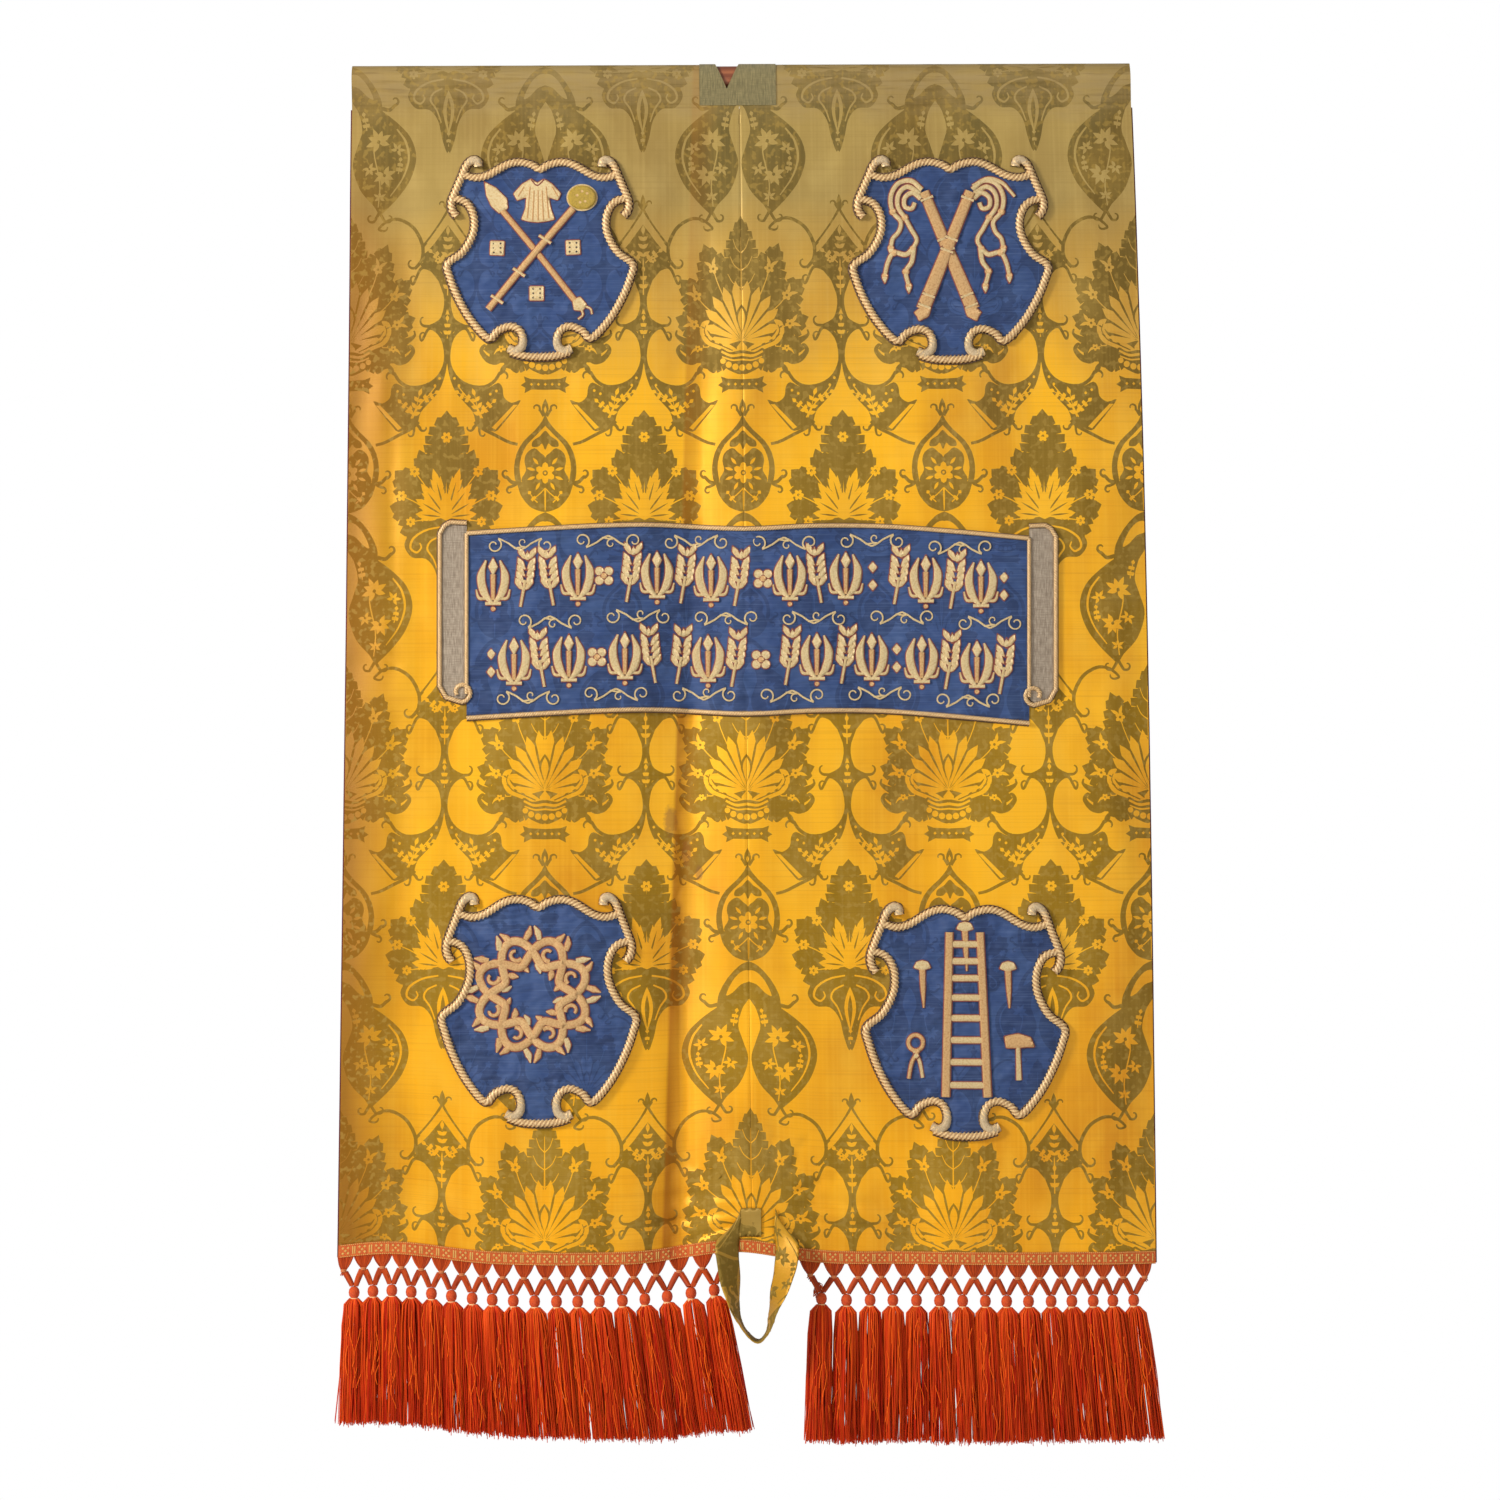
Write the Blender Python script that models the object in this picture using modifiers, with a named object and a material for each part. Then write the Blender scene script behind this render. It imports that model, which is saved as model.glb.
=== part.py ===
"""Church banner on a plain wooden rod, as it hangs.

Metres, +Z up. The banner faces -Y. The origin is the top of the rod, where a line holds it up, so
everything hangs below Z = 0. The cloth is one smooth surface of soft folds, worked out at a coarse
grid of columns and rows, and whatever is sewn to the cloth lies parallel to that grid.
"""

import math
import random

import bmesh
import bpy
from mathutils import Matrix, Vector
from mathutils.bvhtree import BVHTree

# Rod and the sleeve that it fills
ROD_RADIUS = 0.014
ROD_LENGTH = 0.960
ROD_CENTRE_X = 0.019
ROD_SLOPE = 0.0035
ROD_SIDES = 24
SEWN_GAP = 0.0003
SLEEVE_DEPTH = 0.050
SLEEVE_STEPS = 8
ANGLE_MARGIN = 0.01
SHARP_ANGLE = 40
WELD_DISTANCE = 0.000001

# Cloth
HALF_WIDTH = 0.515
DROP = 1.500
FRONT_THICKNESS = 0.0015
LINING_THICKNESS = 0.0010
LINING_OVERHANG = 0.0018
LINING_TOP = 0.0530
SEAM_TOP_X = 0.016
SEAM_HEM_X = 0.0325
LEFT_SCALE = (0.939, 1.007)
RIGHT_SCALE = (0.949, 0.983)
SEAM_HALF_GAP = 0.00015
LEFT_COLUMNS = (0.515, 0.490, 0.450, 0.400, 0.340, 0.280, 0.220, 0.170, 0.130, 0.100, 0.070, 0.035)
RIGHT_COLUMNS = (0.030, 0.070, 0.120, 0.170, 0.220, 0.280, 0.340, 0.400, 0.450, 0.490, 0.515)
ROWS = (0.05, 0.18, 0.31, 0.45, 0.60, 0.75, 0.91, 1.07, 1.23, 1.36, 1.44, 1.484, 1.50)
FOLDS_FULL_BELOW_SLEEVE = 0.25

# Soft folds that run down the cloth. x is across the flat cloth from the seam, at the top and the hem;
# depths are at the top, half way down and at the hem, and a positive one goes back.
FOLDS = (
    # x_top, x_hem, half_width, depth_top, depth_middle, depth_hem
    (-0.535, -0.535, 0.050, 0.004, 0.022, 0.012),
    (-0.220, -0.240, 0.110, -0.003, -0.008, -0.012),
    (-0.062, -0.098, 0.034, 0.006, 0.011, 0.016),
    (0.050, 0.020, 0.060, -0.002, -0.006, -0.008),
    (0.150, 0.190, 0.050, 0.002, 0.005, 0.007),
    (0.330, 0.340, 0.090, -0.003, -0.007, -0.008),
    (0.535, 0.535, 0.050, 0.006, 0.014, 0.013),
)

# Places where the hem rides up: the pull of the loop, and the left corner
HEM_LIFTS = (
    # x, half_width, height
    (0.015, 0.075, 0.016),
    (-0.420, 0.085, 0.013),
)
LIFT_START = 0.72

# Notch in the sleeve, and the patch round it
NOTCH_X = 0.001
NOTCH_HALF_WIDTH = 0.0165
NOTCH_DEPTH = 0.0296
NOTCH_RISE = 0.006
PATCH_LEFT = -0.034
PATCH_RIGHT = 0.062
PATCH_THICKNESS = 0.0009
PATCH_DEPTH = 0.0488

# Shields: centre, half width and half height
APPLIQUE_THICKNESS = 0.0020
CUTTER_DEPTH = 0.4
SHIELDS = (
    # x, z, half_width, half_height
    (-0.2325, -0.2410, 0.1170, 0.1245),
    (0.2810, -0.2425, 0.1225, 0.1265),
    (-0.2340, -1.1810, 0.1220, 0.1430),
    (0.2995, -1.1955, 0.1250, 0.1450),
)
SHIELD_CORD_RADIUS = 0.0052
SHIELD_CORD_SEAT = 0.0010

# Right half of the shield's outline, in half widths and half heights from its centre
SHIELD_TOP = (
    (0.000, 0.896), (0.091, 0.940), (0.229, 0.966), (0.366, 0.936),
    (0.560, 0.835), (0.700, 0.812), (0.830, 0.845),
)
SHIELD_EAR = (
    (0.662, 0.920), (0.672, 0.975), (0.725, 0.985), (0.787, 0.935), (0.838, 0.821),
    (0.899, 0.688), (0.947, 0.568), (0.936, 0.479), (0.890, 0.425),
)
SHIELD_SIDE = (
    (0.930, 0.602), (0.830, 0.583), (0.753, 0.524), (0.704, 0.400), (0.720, 0.240),
    (0.830, 0.060), (0.988, -0.057), (0.964, -0.190), (0.880, -0.390),
    (0.740, -0.615), (0.552, -0.801), (0.452, -0.729), (0.332, -0.685),
    (0.229, -0.714), (0.182, -0.801), (0.194, -0.890), (0.263, -0.932), (0.338, -0.905),
)
SHIELD_FOOT = ((0.314, -0.942), (0.177, -0.979), (0.000, -0.990))
SIDE_POINTS_IN_OUTLINE = 16

# Scroll across the middle: its middle line, with the height of the blue ground and of the rolled ends
SCROLL_LEFT = -0.3245
SCROLL_RIGHT = 0.3790
SCROLL_HALF_HEIGHT = 0.1155
SCROLL_MIDDLE = (
    # x, z
    (-0.325, -0.7005), (-0.240, -0.6955), (-0.155, -0.6910), (-0.080, -0.6900), (0.022, -0.6950),
    (0.110, -0.6910), (0.195, -0.6915), (0.282, -0.6980), (0.379, -0.7070),
)
SCROLL_EDGE_STEPS = 16
SCROLL_END_WIDTH = 0.0335
SCROLL_END_TOP = -0.5710
SCROLL_END_BASE = -0.7900
SCROLL_END_CORNER = 0.35
SCROLL_END_CHAMFER = 0.010
SCROLL_END_SAG = 0.006
SCROLL_CORD_RADIUS = 0.0030
SCROLL_CORD_SEAT = 0.0012
SCROLL_CURL_RADIUS = 0.0125
SCROLL_CURL_TURN = 300
SCROLL_CURL_STEPS = 6
SCROLL_CURL_SHRINK = 0.44
LONGEST_CORD_STEP = 0.070

# Fringe
BRAID_THICKNESS = 0.0012
NET_THICKNESS = 0.0045
WEB_SHARE = 0.28
STRIP_HEIGHT = 0.0026
TIE_DROP = 0.0165
TIE_HALF_WIDTH = 0.0032
TIE_HEIGHT = 0.0034
TIE_PROUD = 0.0012
TIE_FORK = 0.0080
JOIN_HALF_WIDTH = 0.0034
JOIN_FORK = 0.0100
JOIN_DROP = 0.0375
FRINGES = (
    # side, tassels, first and last head, first and last tip, bow of the spacing, first and last length
    ("left", 18, -0.4665, -0.0156, -0.4700, 0.0155, -0.0115, 0.171, 0.184),
    ("right", 15, 0.1200, 0.5107, 0.1150, 0.5320, 0.0085, 0.186, 0.181),
)
SPACING_UNEVEN = 0.03
TASSEL_UNEVEN = 0.0030
TASSEL_SIDES = 7
TASSEL_DOME_DROP = 0.0420
LOCK_INSET = 0.00035
HEAD_PROFILE = (
    # radius, drop from the top of the head
    (0.0, 0.0), (0.0050, 0.0016), (0.0070, 0.0078), (0.0046, 0.0165), (0.0092, 0.0260),
)

# Knots that have worked loose on the net
LOOSE_KNOTS = (
    # side, x, drop, radius
    ("right", 0.1150, 0.0300, 0.0062),
)

# Pole loop: a flat band, closed on itself, sewn to the cloth at its upper run
LOOP_WIDTH = 0.036
LOOP_THICKNESS = 0.0022
LOOP_CLOTH_BASE = -1.466
LOOP_STATIONS = (
    # x, distance in front of the cloth, z, and the way the band's width runs: x, y, z
    (0.0440, 0.0006, -1.4465, 0.00, 0.00, 1.00),
    (0.0210, 0.0006, -1.4468, 0.00, 0.00, 1.00),
    (0.0110, 0.0042, -1.4490, 0.42, 0.05, 0.90),
    (0.0045, 0.0075, -1.4570, 0.80, 0.20, 0.52),
    (0.0015, 0.0140, -1.4790, 0.80, 0.58, 0.10),
    (0.0040, 0.0200, -1.5060, 0.76, 0.65, 0.00),
    (0.0075, 0.0240, -1.5330, 0.56, 0.83, 0.00),
    (0.0130, 0.0255, -1.5570, 0.24, 0.97, 0.00),
    (0.0240, 0.0260, -1.5790, 0.06, 1.00, 0.00),
    (0.0400, 0.0260, -1.5920, 0.00, 1.00, 0.00),
    (0.0520, 0.0260, -1.5800, -0.08, 1.00, 0.00),
    (0.0585, 0.0250, -1.5560, -0.28, 0.96, 0.00),
    (0.0660, 0.0235, -1.5310, -0.58, 0.81, 0.00),
    (0.0735, 0.0195, -1.5040, -0.76, 0.65, 0.00),
    (0.0765, 0.0140, -1.4790, -0.80, 0.58, 0.10),
    (0.0745, 0.0075, -1.4570, -0.80, 0.20, 0.52),
    (0.0700, 0.0042, -1.4490, -0.42, 0.05, 0.90),
    (0.0620, 0.0006, -1.4468, 0.00, 0.00, 1.00),
)

GOLD = (0.62, 0.40, 0.06, 1.0)
MAROON = (0.20, 0.03, 0.04, 1.0)
KHAKI = (0.30, 0.27, 0.14, 1.0)
BLUE = (0.03, 0.07, 0.28, 1.0)
TAUPE = (0.30, 0.26, 0.20, 1.0)
CORD_GOLD = (0.70, 0.50, 0.25, 1.0)
ORANGE = (0.55, 0.10, 0.02, 1.0)
WOOD = (0.42, 0.16, 0.06, 1.0)


def clear_scene():
    for old in list(bpy.data.objects):
        bpy.data.objects.remove(old)


def new_collection(name, hidden=False):
    collection = bpy.data.collections.new(name)
    collection.hide_render = hidden
    bpy.context.scene.collection.children.link(collection)
    return collection


def new_material(name, colour, roughness, metallic=0.0):
    material = bpy.data.materials.new(name)
    material.use_nodes = True
    shader = material.node_tree.nodes["Principled BSDF"]
    shader.inputs["Base Color"].default_value = colour
    shader.inputs["Roughness"].default_value = roughness
    shader.inputs["Metallic"].default_value = metallic
    return material


def add_object(name, data, collection, material=None):
    made = bpy.data.objects.new(name, data)
    collection.objects.link(made)
    if material:
        data.materials.append(material)
    return made


def add_helper(name, data, collection):
    made = add_object(name, data, collection)
    made.hide_render = True
    made.display_type = "WIRE"
    return made


def sheet_mesh(name, lines):
    """An open sheet through lines of points, one for each column. Lines that run down face the front."""
    work = bmesh.new()
    bmesh.ops.create_grid(work, x_segments=len(lines[0]) - 1, y_segments=len(lines) - 1, size=1.0)
    for vertex, point in zip(work.verts, [point for line in lines for point in line]):
        vertex.co = point
    bmesh.ops.triangulate(work, faces=work.faces, quad_method="FIXED")
    mesh = bpy.data.meshes.new(name)
    work.to_mesh(mesh)
    work.free()
    return mesh


def weld(mesh):
    work = bmesh.new()
    work.from_mesh(mesh)
    bmesh.ops.remove_doubles(work, verts=work.verts, dist=WELD_DISTANCE)
    bmesh.ops.recalc_face_normals(work, faces=work.faces)
    work.to_mesh(mesh)
    work.free()


def thicken(made, thickness, offset=1.0):
    """Give the sheet its thickness, on the side that it faces unless the offset says otherwise."""
    solid = made.modifiers.new("thickness", "SOLIDIFY")
    solid.thickness = thickness
    solid.offset = offset
    return made


def mix(low, high, share):
    return low + (high - low) * share


def smooth(share):
    share = min(max(share, 0.0), 1.0)
    return share * share * (3.0 - 2.0 * share)


def interpolate(rows, x):
    """Height of a short table of (x, z) rows at x, straight between its rows."""
    for (x0, z0), (x1, z1) in zip(rows, rows[1:]):
        if x <= x1:
            return mix(z0, z1, (x - x0) / (x1 - x0))
    return rows[-1][1]


# Hanging shape of the cloth


def across(u, share):
    """Place across the room of the point u from the seam on the flat cloth."""
    seam = mix(SEAM_TOP_X, SEAM_HEM_X, share)
    if u < 0:
        return seam + u * mix(*LEFT_SCALE, share)
    return seam + u * mix(*RIGHT_SCALE, 1.0 - (1.0 - share) ** 3)


def hem_lift(x):
    return sum(rise * math.exp(-(((x - at) / half) ** 2)) for at, half, rise in HEM_LIFTS)


def height(x, drop):
    share = drop / DROP
    ramp = smooth((share - LIFT_START) / (1.0 - LIFT_START))
    return -drop + ROD_SLOPE * x * (1.0 - share) + hem_lift(x) * ramp


def fold_depth(u, drop):
    """How far back the cloth lies at this place, worked out from the rows of FOLDS."""
    share = drop / DROP
    start = smooth((drop - SLEEVE_DEPTH) / FOLDS_FULL_BELOW_SLEEVE)
    total = 0.0
    for x_top, x_hem, half_width, top, middle, hem in FOLDS:
        depth = mix(top, middle, share * 2) if share < 0.5 else mix(middle, hem, share * 2 - 1)
        total += depth * math.exp(-(((u - mix(x_top, x_hem, share)) / half_width) ** 2))
    return total * start


def cloth_point(u, drop, offset):
    x = across(u, drop / DROP)
    return Vector((x, fold_depth(u, drop) + offset, height(x, drop)))


def body_line(u, drops, offset):
    return [cloth_point(u, drop, offset) for drop in drops]


def sleeve_angles():
    """Angles round the rod where the sleeve touches it, from the front, over the top, to the back."""
    half_step = math.pi / (2 * SLEEVE_STEPS)
    reach = (ROD_RADIUS + SEWN_GAP) / math.cos(half_step) / (SLEEVE_DEPTH - ROD_RADIUS)
    low = -math.asin(reach)
    return [mix(low, math.pi - low, step / SLEEVE_STEPS) for step in range(SLEEVE_STEPS + 1)]


def sleeve_radius(out):
    """Radius of the corners round the rod of a sheet this far out from the sleeve's inside."""
    angles = sleeve_angles()
    return (ROD_RADIUS + SEWN_GAP) / math.cos((angles[1] - angles[0]) / 2) + out


def sleeve_line(u, out, angles):
    x = across(u, 0.0)
    radius = sleeve_radius(out)
    centre = ROD_SLOPE * x - ROD_RADIUS
    return [Vector((x, -radius * math.cos(a), radius * math.sin(a) + centre)) for a in angles]


def layer(name, columns, drops, offset):
    """A sheet parallel to the cloth, at this distance from the cloth's back face."""
    return sheet_mesh(name, [body_line(u, drops, offset) for u in columns])


def all_columns(reach=HALF_WIDTH):
    left = [-max(u, reach) if u == HALF_WIDTH else -u for u in LEFT_COLUMNS]
    right = [max(u, reach) if u == HALF_WIDTH else u for u in RIGHT_COLUMNS]
    return left + [0.0] + right


def panel_mesh(name, columns):
    """Half of the banner's front: turned-in end, sleeve over the rod, and the cloth down to the hem."""
    angles = sleeve_angles()[::-1]
    lines = []
    for u in columns:
        turned_in = cloth_point(u, SLEEVE_DEPTH, SEWN_GAP)
        lines.append([turned_in] + sleeve_line(u, 0.0, angles) + body_line(u, ROWS, 0.0))
    return sheet_mesh(name, lines)


def cut(made, cutter, operation):
    cutting = made.modifiers.new(cutter.name, "BOOLEAN")
    cutting.operation = operation
    cutting.object = cutter


def build_cloth(parts, cutter, materials):
    left = [-u for u in LEFT_COLUMNS] + [-SEAM_HALF_GAP]
    right = [SEAM_HALF_GAP] + list(RIGHT_COLUMNS)
    for name, columns in (("banner_left", left), ("banner_right", right)):
        panel = add_object(name, panel_mesh(name, columns), parts, materials["gold"])
        thicken(panel, FRONT_THICKNESS)
        cut(panel, cutter, "DIFFERENCE")
    first = (LINING_TOP - ROWS[0]) / (ROWS[1] - ROWS[0])
    lines = []
    for u in all_columns(HALF_WIDTH + LINING_OVERHANG):
        line = body_line(u, ROWS, SEWN_GAP + LINING_THICKNESS)
        lines.append([line[0].lerp(line[1], first)] + line[1:])
    lining = add_object("lining", sheet_mesh("lining", lines), parts, materials["maroon"])
    thicken(lining, LINING_THICKNESS)
    braid_mesh = layer("braid", all_columns(), ROWS[-2:], -FRONT_THICKNESS - SEWN_GAP)
    thicken(add_object("braid", braid_mesh, parts, materials["orange"]), BRAID_THICKNESS)


def notch_cutter(cutters):
    """A wedge that opens the sleeve over the rod, front and back."""
    top_half = NOTCH_HALF_WIDTH * (NOTCH_DEPTH + NOTCH_RISE) / NOTCH_DEPTH
    outline = [
        (NOTCH_X - top_half, NOTCH_RISE),
        (NOTCH_X, -NOTCH_DEPTH),
        (NOTCH_X + top_half, NOTCH_RISE),
    ]
    return outline_prism("notch_cutter", [outline], 4 * ROD_RADIUS, cutters)


def build_patch(parts, cutter, materials):
    """Reinforcement over the front of the sleeve, from the top of the rod to the stitching."""
    angles = [a for a in sleeve_angles() if a < math.pi / 2 + ANGLE_MARGIN][::-1]
    inside = FRONT_THICKNESS + SEWN_GAP
    lines = []
    for x in (PATCH_LEFT, PATCH_RIGHT):
        line = sleeve_line(0.0, inside, angles)
        foot = Vector((line[-1].x, -inside, -SLEEVE_DEPTH))
        line.append(line[-1].lerp(foot, (PATCH_DEPTH + line[-1].z) / (SLEEVE_DEPTH + line[-1].z)))
        tilt = ROD_SLOPE * (x - line[0].x)
        lines.append([Vector((x, p.y, p.z + tilt)) for p in line])
    patch = add_object("notch_patch", sheet_mesh("notch_patch", lines), parts, materials["khaki"])
    thicken(patch, PATCH_THICKNESS)
    cut(patch, cutter, "DIFFERENCE")


def build_rod(parts, materials):
    bpy.ops.mesh.primitive_cylinder_add(vertices=ROD_SIDES, radius=ROD_RADIUS, depth=ROD_LENGTH)
    rod = bpy.context.object
    rod.name = "rod"
    for collection in list(rod.users_collection):
        collection.objects.unlink(rod)
    parts.objects.link(rod)
    rod.rotation_euler = (0.0, math.pi / 2 - math.atan(ROD_SLOPE), 0.0)
    rod.location = (ROD_CENTRE_X, 0.0, ROD_SLOPE * ROD_CENTRE_X - ROD_RADIUS)
    rod.data.materials.append(materials["wood"])
    rod.data.shade_smooth()
    rod.data.set_sharp_from_angle(angle=math.radians(SHARP_ANGLE))


# Flat outlines and cords laid on the cloth


def outline_prism(name, outlines, depth, collection, helper=True):
    """Flat outlines in X and Z, the inner ones left open, carried through along Y."""
    curve = bpy.data.curves.new(name, "CURVE")
    curve.dimensions = "2D"
    curve.fill_mode = "BOTH"
    curve.extrude = depth / 2
    for outline in outlines:
        spline = curve.splines.new("POLY")
        spline.points.add(len(outline) - 1)
        for point, (x, z) in zip(spline.points, outline):
            point.co = (x, z, 0.0, 1.0)
        spline.use_cyclic_u = True
    made = bpy.data.objects.new(name + "_curve", curve)
    bpy.context.scene.collection.objects.link(made)
    made.rotation_euler = (math.pi / 2, 0.0, 0.0)
    return as_mesh(made, name, collection, helper)


def as_mesh(curve_object, name, collection, helper=False):
    """The curve's own solid as a mesh object with its caps welded; the curve is removed."""
    bpy.context.view_layer.update()
    graph = bpy.context.evaluated_depsgraph_get()
    mesh = bpy.data.meshes.new_from_object(curve_object.evaluated_get(graph))
    mesh.name = name
    weld(mesh)
    mesh.transform(curve_object.matrix_world)
    bpy.data.objects.remove(curve_object)
    mesh.materials.clear()
    return add_helper(name, mesh, collection) if helper else add_object(name, mesh, collection)


def applique(name, outline, parts, cutters, material):
    """A piece of cloth with this outline, sewn flat on the banner's front."""
    mesh = layer(name, all_columns(), ROWS, -FRONT_THICKNESS - SEWN_GAP)
    made = thicken(add_object(name, mesh, parts, material), APPLIQUE_THICKNESS)
    cut(made, outline_prism(name + "_outline", [outline], CUTTER_DEPTH, cutters), "INTERSECT")


def front_finder():
    """Looks up how far back the banner's front face lies at a place seen from the front."""
    mesh = layer("front", all_columns(), ROWS, -FRONT_THICKNESS)
    tree = BVHTree.FromPolygons([v.co for v in mesh.vertices], [tuple(p.vertices) for p in mesh.polygons])
    bpy.data.meshes.remove(mesh)

    def front_y(x, z):
        hit = tree.ray_cast(Vector((x, -1.0, z)), Vector((0.0, 1.0, 0.0)))[0]
        return hit.y if hit else -FRONT_THICKNESS

    return front_y


def cord_piece(name, path, radius, parts, closed=False):
    curve = bpy.data.curves.new(name, "CURVE")
    curve.dimensions = "3D"
    curve.bevel_depth = radius
    curve.bevel_resolution = 0
    curve.use_fill_caps = True
    spline = curve.splines.new("POLY")
    spline.points.add(len(path) - 1)
    for point, place in zip(spline.points, path):
        point.co = (*place, 1.0)
    spline.use_cyclic_u = closed
    made = bpy.data.objects.new(name + "_curve", curve)
    bpy.context.scene.collection.objects.link(made)
    return as_mesh(made, name, parts)


def joined(name, pieces, cutters, material):
    """One solid from overlapping pieces: the first keeps the name, and the rest become its union."""
    base = pieces[0]
    base.name = name
    base.data.materials.append(material)
    for other in pieces[1:]:
        for collection in list(other.users_collection):
            collection.objects.unlink(other)
        cutters.objects.link(other)
        other.hide_render = True
        other.display_type = "WIRE"
        cut(base, other, "UNION")


def laid(points, seat, front_y):
    """Points in X and Z, each set at this distance in front of the banner's front face."""
    return [(x, front_y(x, z) - seat, z) for x, z in points]


def refined(points):
    """The same path with more points on its long straight runs, so that a cord can follow the folds."""
    path = points[:1]
    for (x0, z0), (x1, z1) in zip(points, points[1:]):
        steps = math.ceil(math.hypot(x1 - x0, z1 - z0) / LONGEST_CORD_STEP)
        path += [(mix(x0, x1, n / steps), mix(z0, z1, n / steps)) for n in range(1, steps + 1)]
    return path


def build_shield(number, row, parts, cutters, materials, front_y):
    x, z, half_width, half_height = row

    def place(points, side=1):
        return [(x + side * px * half_width, z + pz * half_height) for px, pz in points]

    half = list(SHIELD_TOP[:-1]) + list(SHIELD_EAR[4:7])
    half += list(SHIELD_SIDE[1:SIDE_POINTS_IN_OUTLINE]) + list(SHIELD_FOOT[1:])
    outline = place(half) + place(half[1:-1][::-1], side=-1)
    applique(f"shield_{number}", outline, parts, cutters, materials["blue"])

    seat = SEWN_GAP + APPLIQUE_THICKNESS + SHIELD_CORD_SEAT + SHIELD_CORD_RADIUS
    runs = [place(SHIELD_TOP[::-1], side=-1) + place(SHIELD_TOP[1:])]
    for side in (1, -1):
        runs += [place(SHIELD_EAR, side), place(SHIELD_SIDE, side)]
    runs.append(place(SHIELD_FOOT, side=-1) + place(SHIELD_FOOT[:-1][::-1]))
    pieces = [
        cord_piece(f"cord_{number}_{n}", laid(run, seat, front_y), SHIELD_CORD_RADIUS, parts)
        for n, run in enumerate(runs)
    ]
    joined(f"shield_edging_{number}", pieces, cutters, materials["cord"])


def scroll_edge(side, steps):
    """Points along the scroll's upper (side 1) or lower (side -1) edge."""
    xs = [mix(SCROLL_LEFT, SCROLL_RIGHT, step / steps) for step in range(steps + 1)]
    return [(x, interpolate(SCROLL_MIDDLE, x) + side * SCROLL_HALF_HEIGHT) for x in xs]


def end_corners(inner, outer, foot):
    """A rolled end's outline, from its inner top by way of its outer side to its inner foot."""
    corner = mix(outer, inner, SCROLL_END_CORNER)
    return [
        (inner, SCROLL_END_TOP), (corner, SCROLL_END_TOP), (outer, SCROLL_END_TOP - SCROLL_END_CHAMFER),
        (outer, foot), (corner, foot - SCROLL_END_SAG), (inner, foot - SCROLL_END_SAG / 2),
    ]


def curl(x, z, way):
    """A short spiral round this centre that winds inwards from the inner side."""
    path = []
    for n in range(SCROLL_CURL_STEPS + 1):
        turn = math.radians(SCROLL_CURL_TURN) * n / SCROLL_CURL_STEPS
        radius = SCROLL_CURL_RADIUS * (1 - SCROLL_CURL_SHRINK * n / SCROLL_CURL_STEPS)
        path.append((x - way * radius * math.cos(turn), z - radius * math.sin(turn)))
    return path


def build_scroll(parts, cutters, materials, front_y):
    top = scroll_edge(1, SCROLL_EDGE_STEPS)
    base = scroll_edge(-1, SCROLL_EDGE_STEPS)
    applique("scroll_ground", top + base[::-1], parts, cutters, materials["blue"])

    seat = SEWN_GAP + APPLIQUE_THICKNESS + SCROLL_CORD_SEAT + SCROLL_CORD_RADIUS
    borders, rolls = [], []
    for name, way, start, (inner, foot) in (
        ("scroll_end_left", -1, top[0], base[0]),
        ("scroll_end_right", 1, top[-1], base[-1]),
    ):
        outer = inner + way * SCROLL_END_WIDTH
        outline = end_corners(inner + way * SEWN_GAP, outer, foot)
        applique(name, outline, parts, cutters, materials["taupe"])
        borders.append(end_corners(inner, outer, foot)[:-1])
        inner_edge = refined([start, (inner, SCROLL_END_BASE)])
        centre_z = foot + SCROLL_CURL_RADIUS + SCROLL_CORD_RADIUS
        path = inner_edge + curl(mix(inner, outer, 0.5), centre_z, way)
        rolls.append(cord_piece("scroll_roll", laid(path, seat, front_y), SCROLL_CORD_RADIUS, parts))
    left, right = borders
    ring = refined([*top, *right, *base[::-1], *left[::-1], top[0]])[:-1]
    border = cord_piece("scroll_cord", laid(ring, seat, front_y), SCROLL_CORD_RADIUS, parts, closed=True)
    joined("scroll_edging", [border, *rolls], cutters, materials["cord"])


# Fringe


def hem_line():
    return [cloth_point(u, DROP, 0.0) for u in all_columns()]


def hem_at(x):
    """The cloth's lower edge at this place: how far back it lies, and its height."""
    line = hem_line()
    for a, b in zip(line, line[1:]):
        if x <= b.x:
            break
    share = (x - a.x) / (b.x - a.x)
    return mix(a.y, b.y, share), mix(a.z, b.z, share)


def spread_heads(count, first, last, bow, seed):
    """Places of the tassels' heads: even, but for a bow in the spacing and a little unevenness."""
    uneven = random.Random(seed)
    shares = [(n + uneven.uniform(-SPACING_UNEVEN, SPACING_UNEVEN)) / (count - 1) for n in range(count)]
    return [mix(first, last, share) + bow * 4 * share * (1 - share) for share in shares]


def tassel_radii(places):
    """Half widths that let each tassel just meet the flat side that its neighbour turns to it."""
    flat_side = 1 + math.cos(math.pi / TASSEL_SIDES)
    pitches = [b - a for a, b in zip(places, places[1:])]
    nearest = [min(pair) for pair in zip(pitches[:1] + pitches, pitches + pitches[-1:])]
    return [(pitch - 2 * SEWN_GAP) / flat_side for pitch in nearest]


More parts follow.
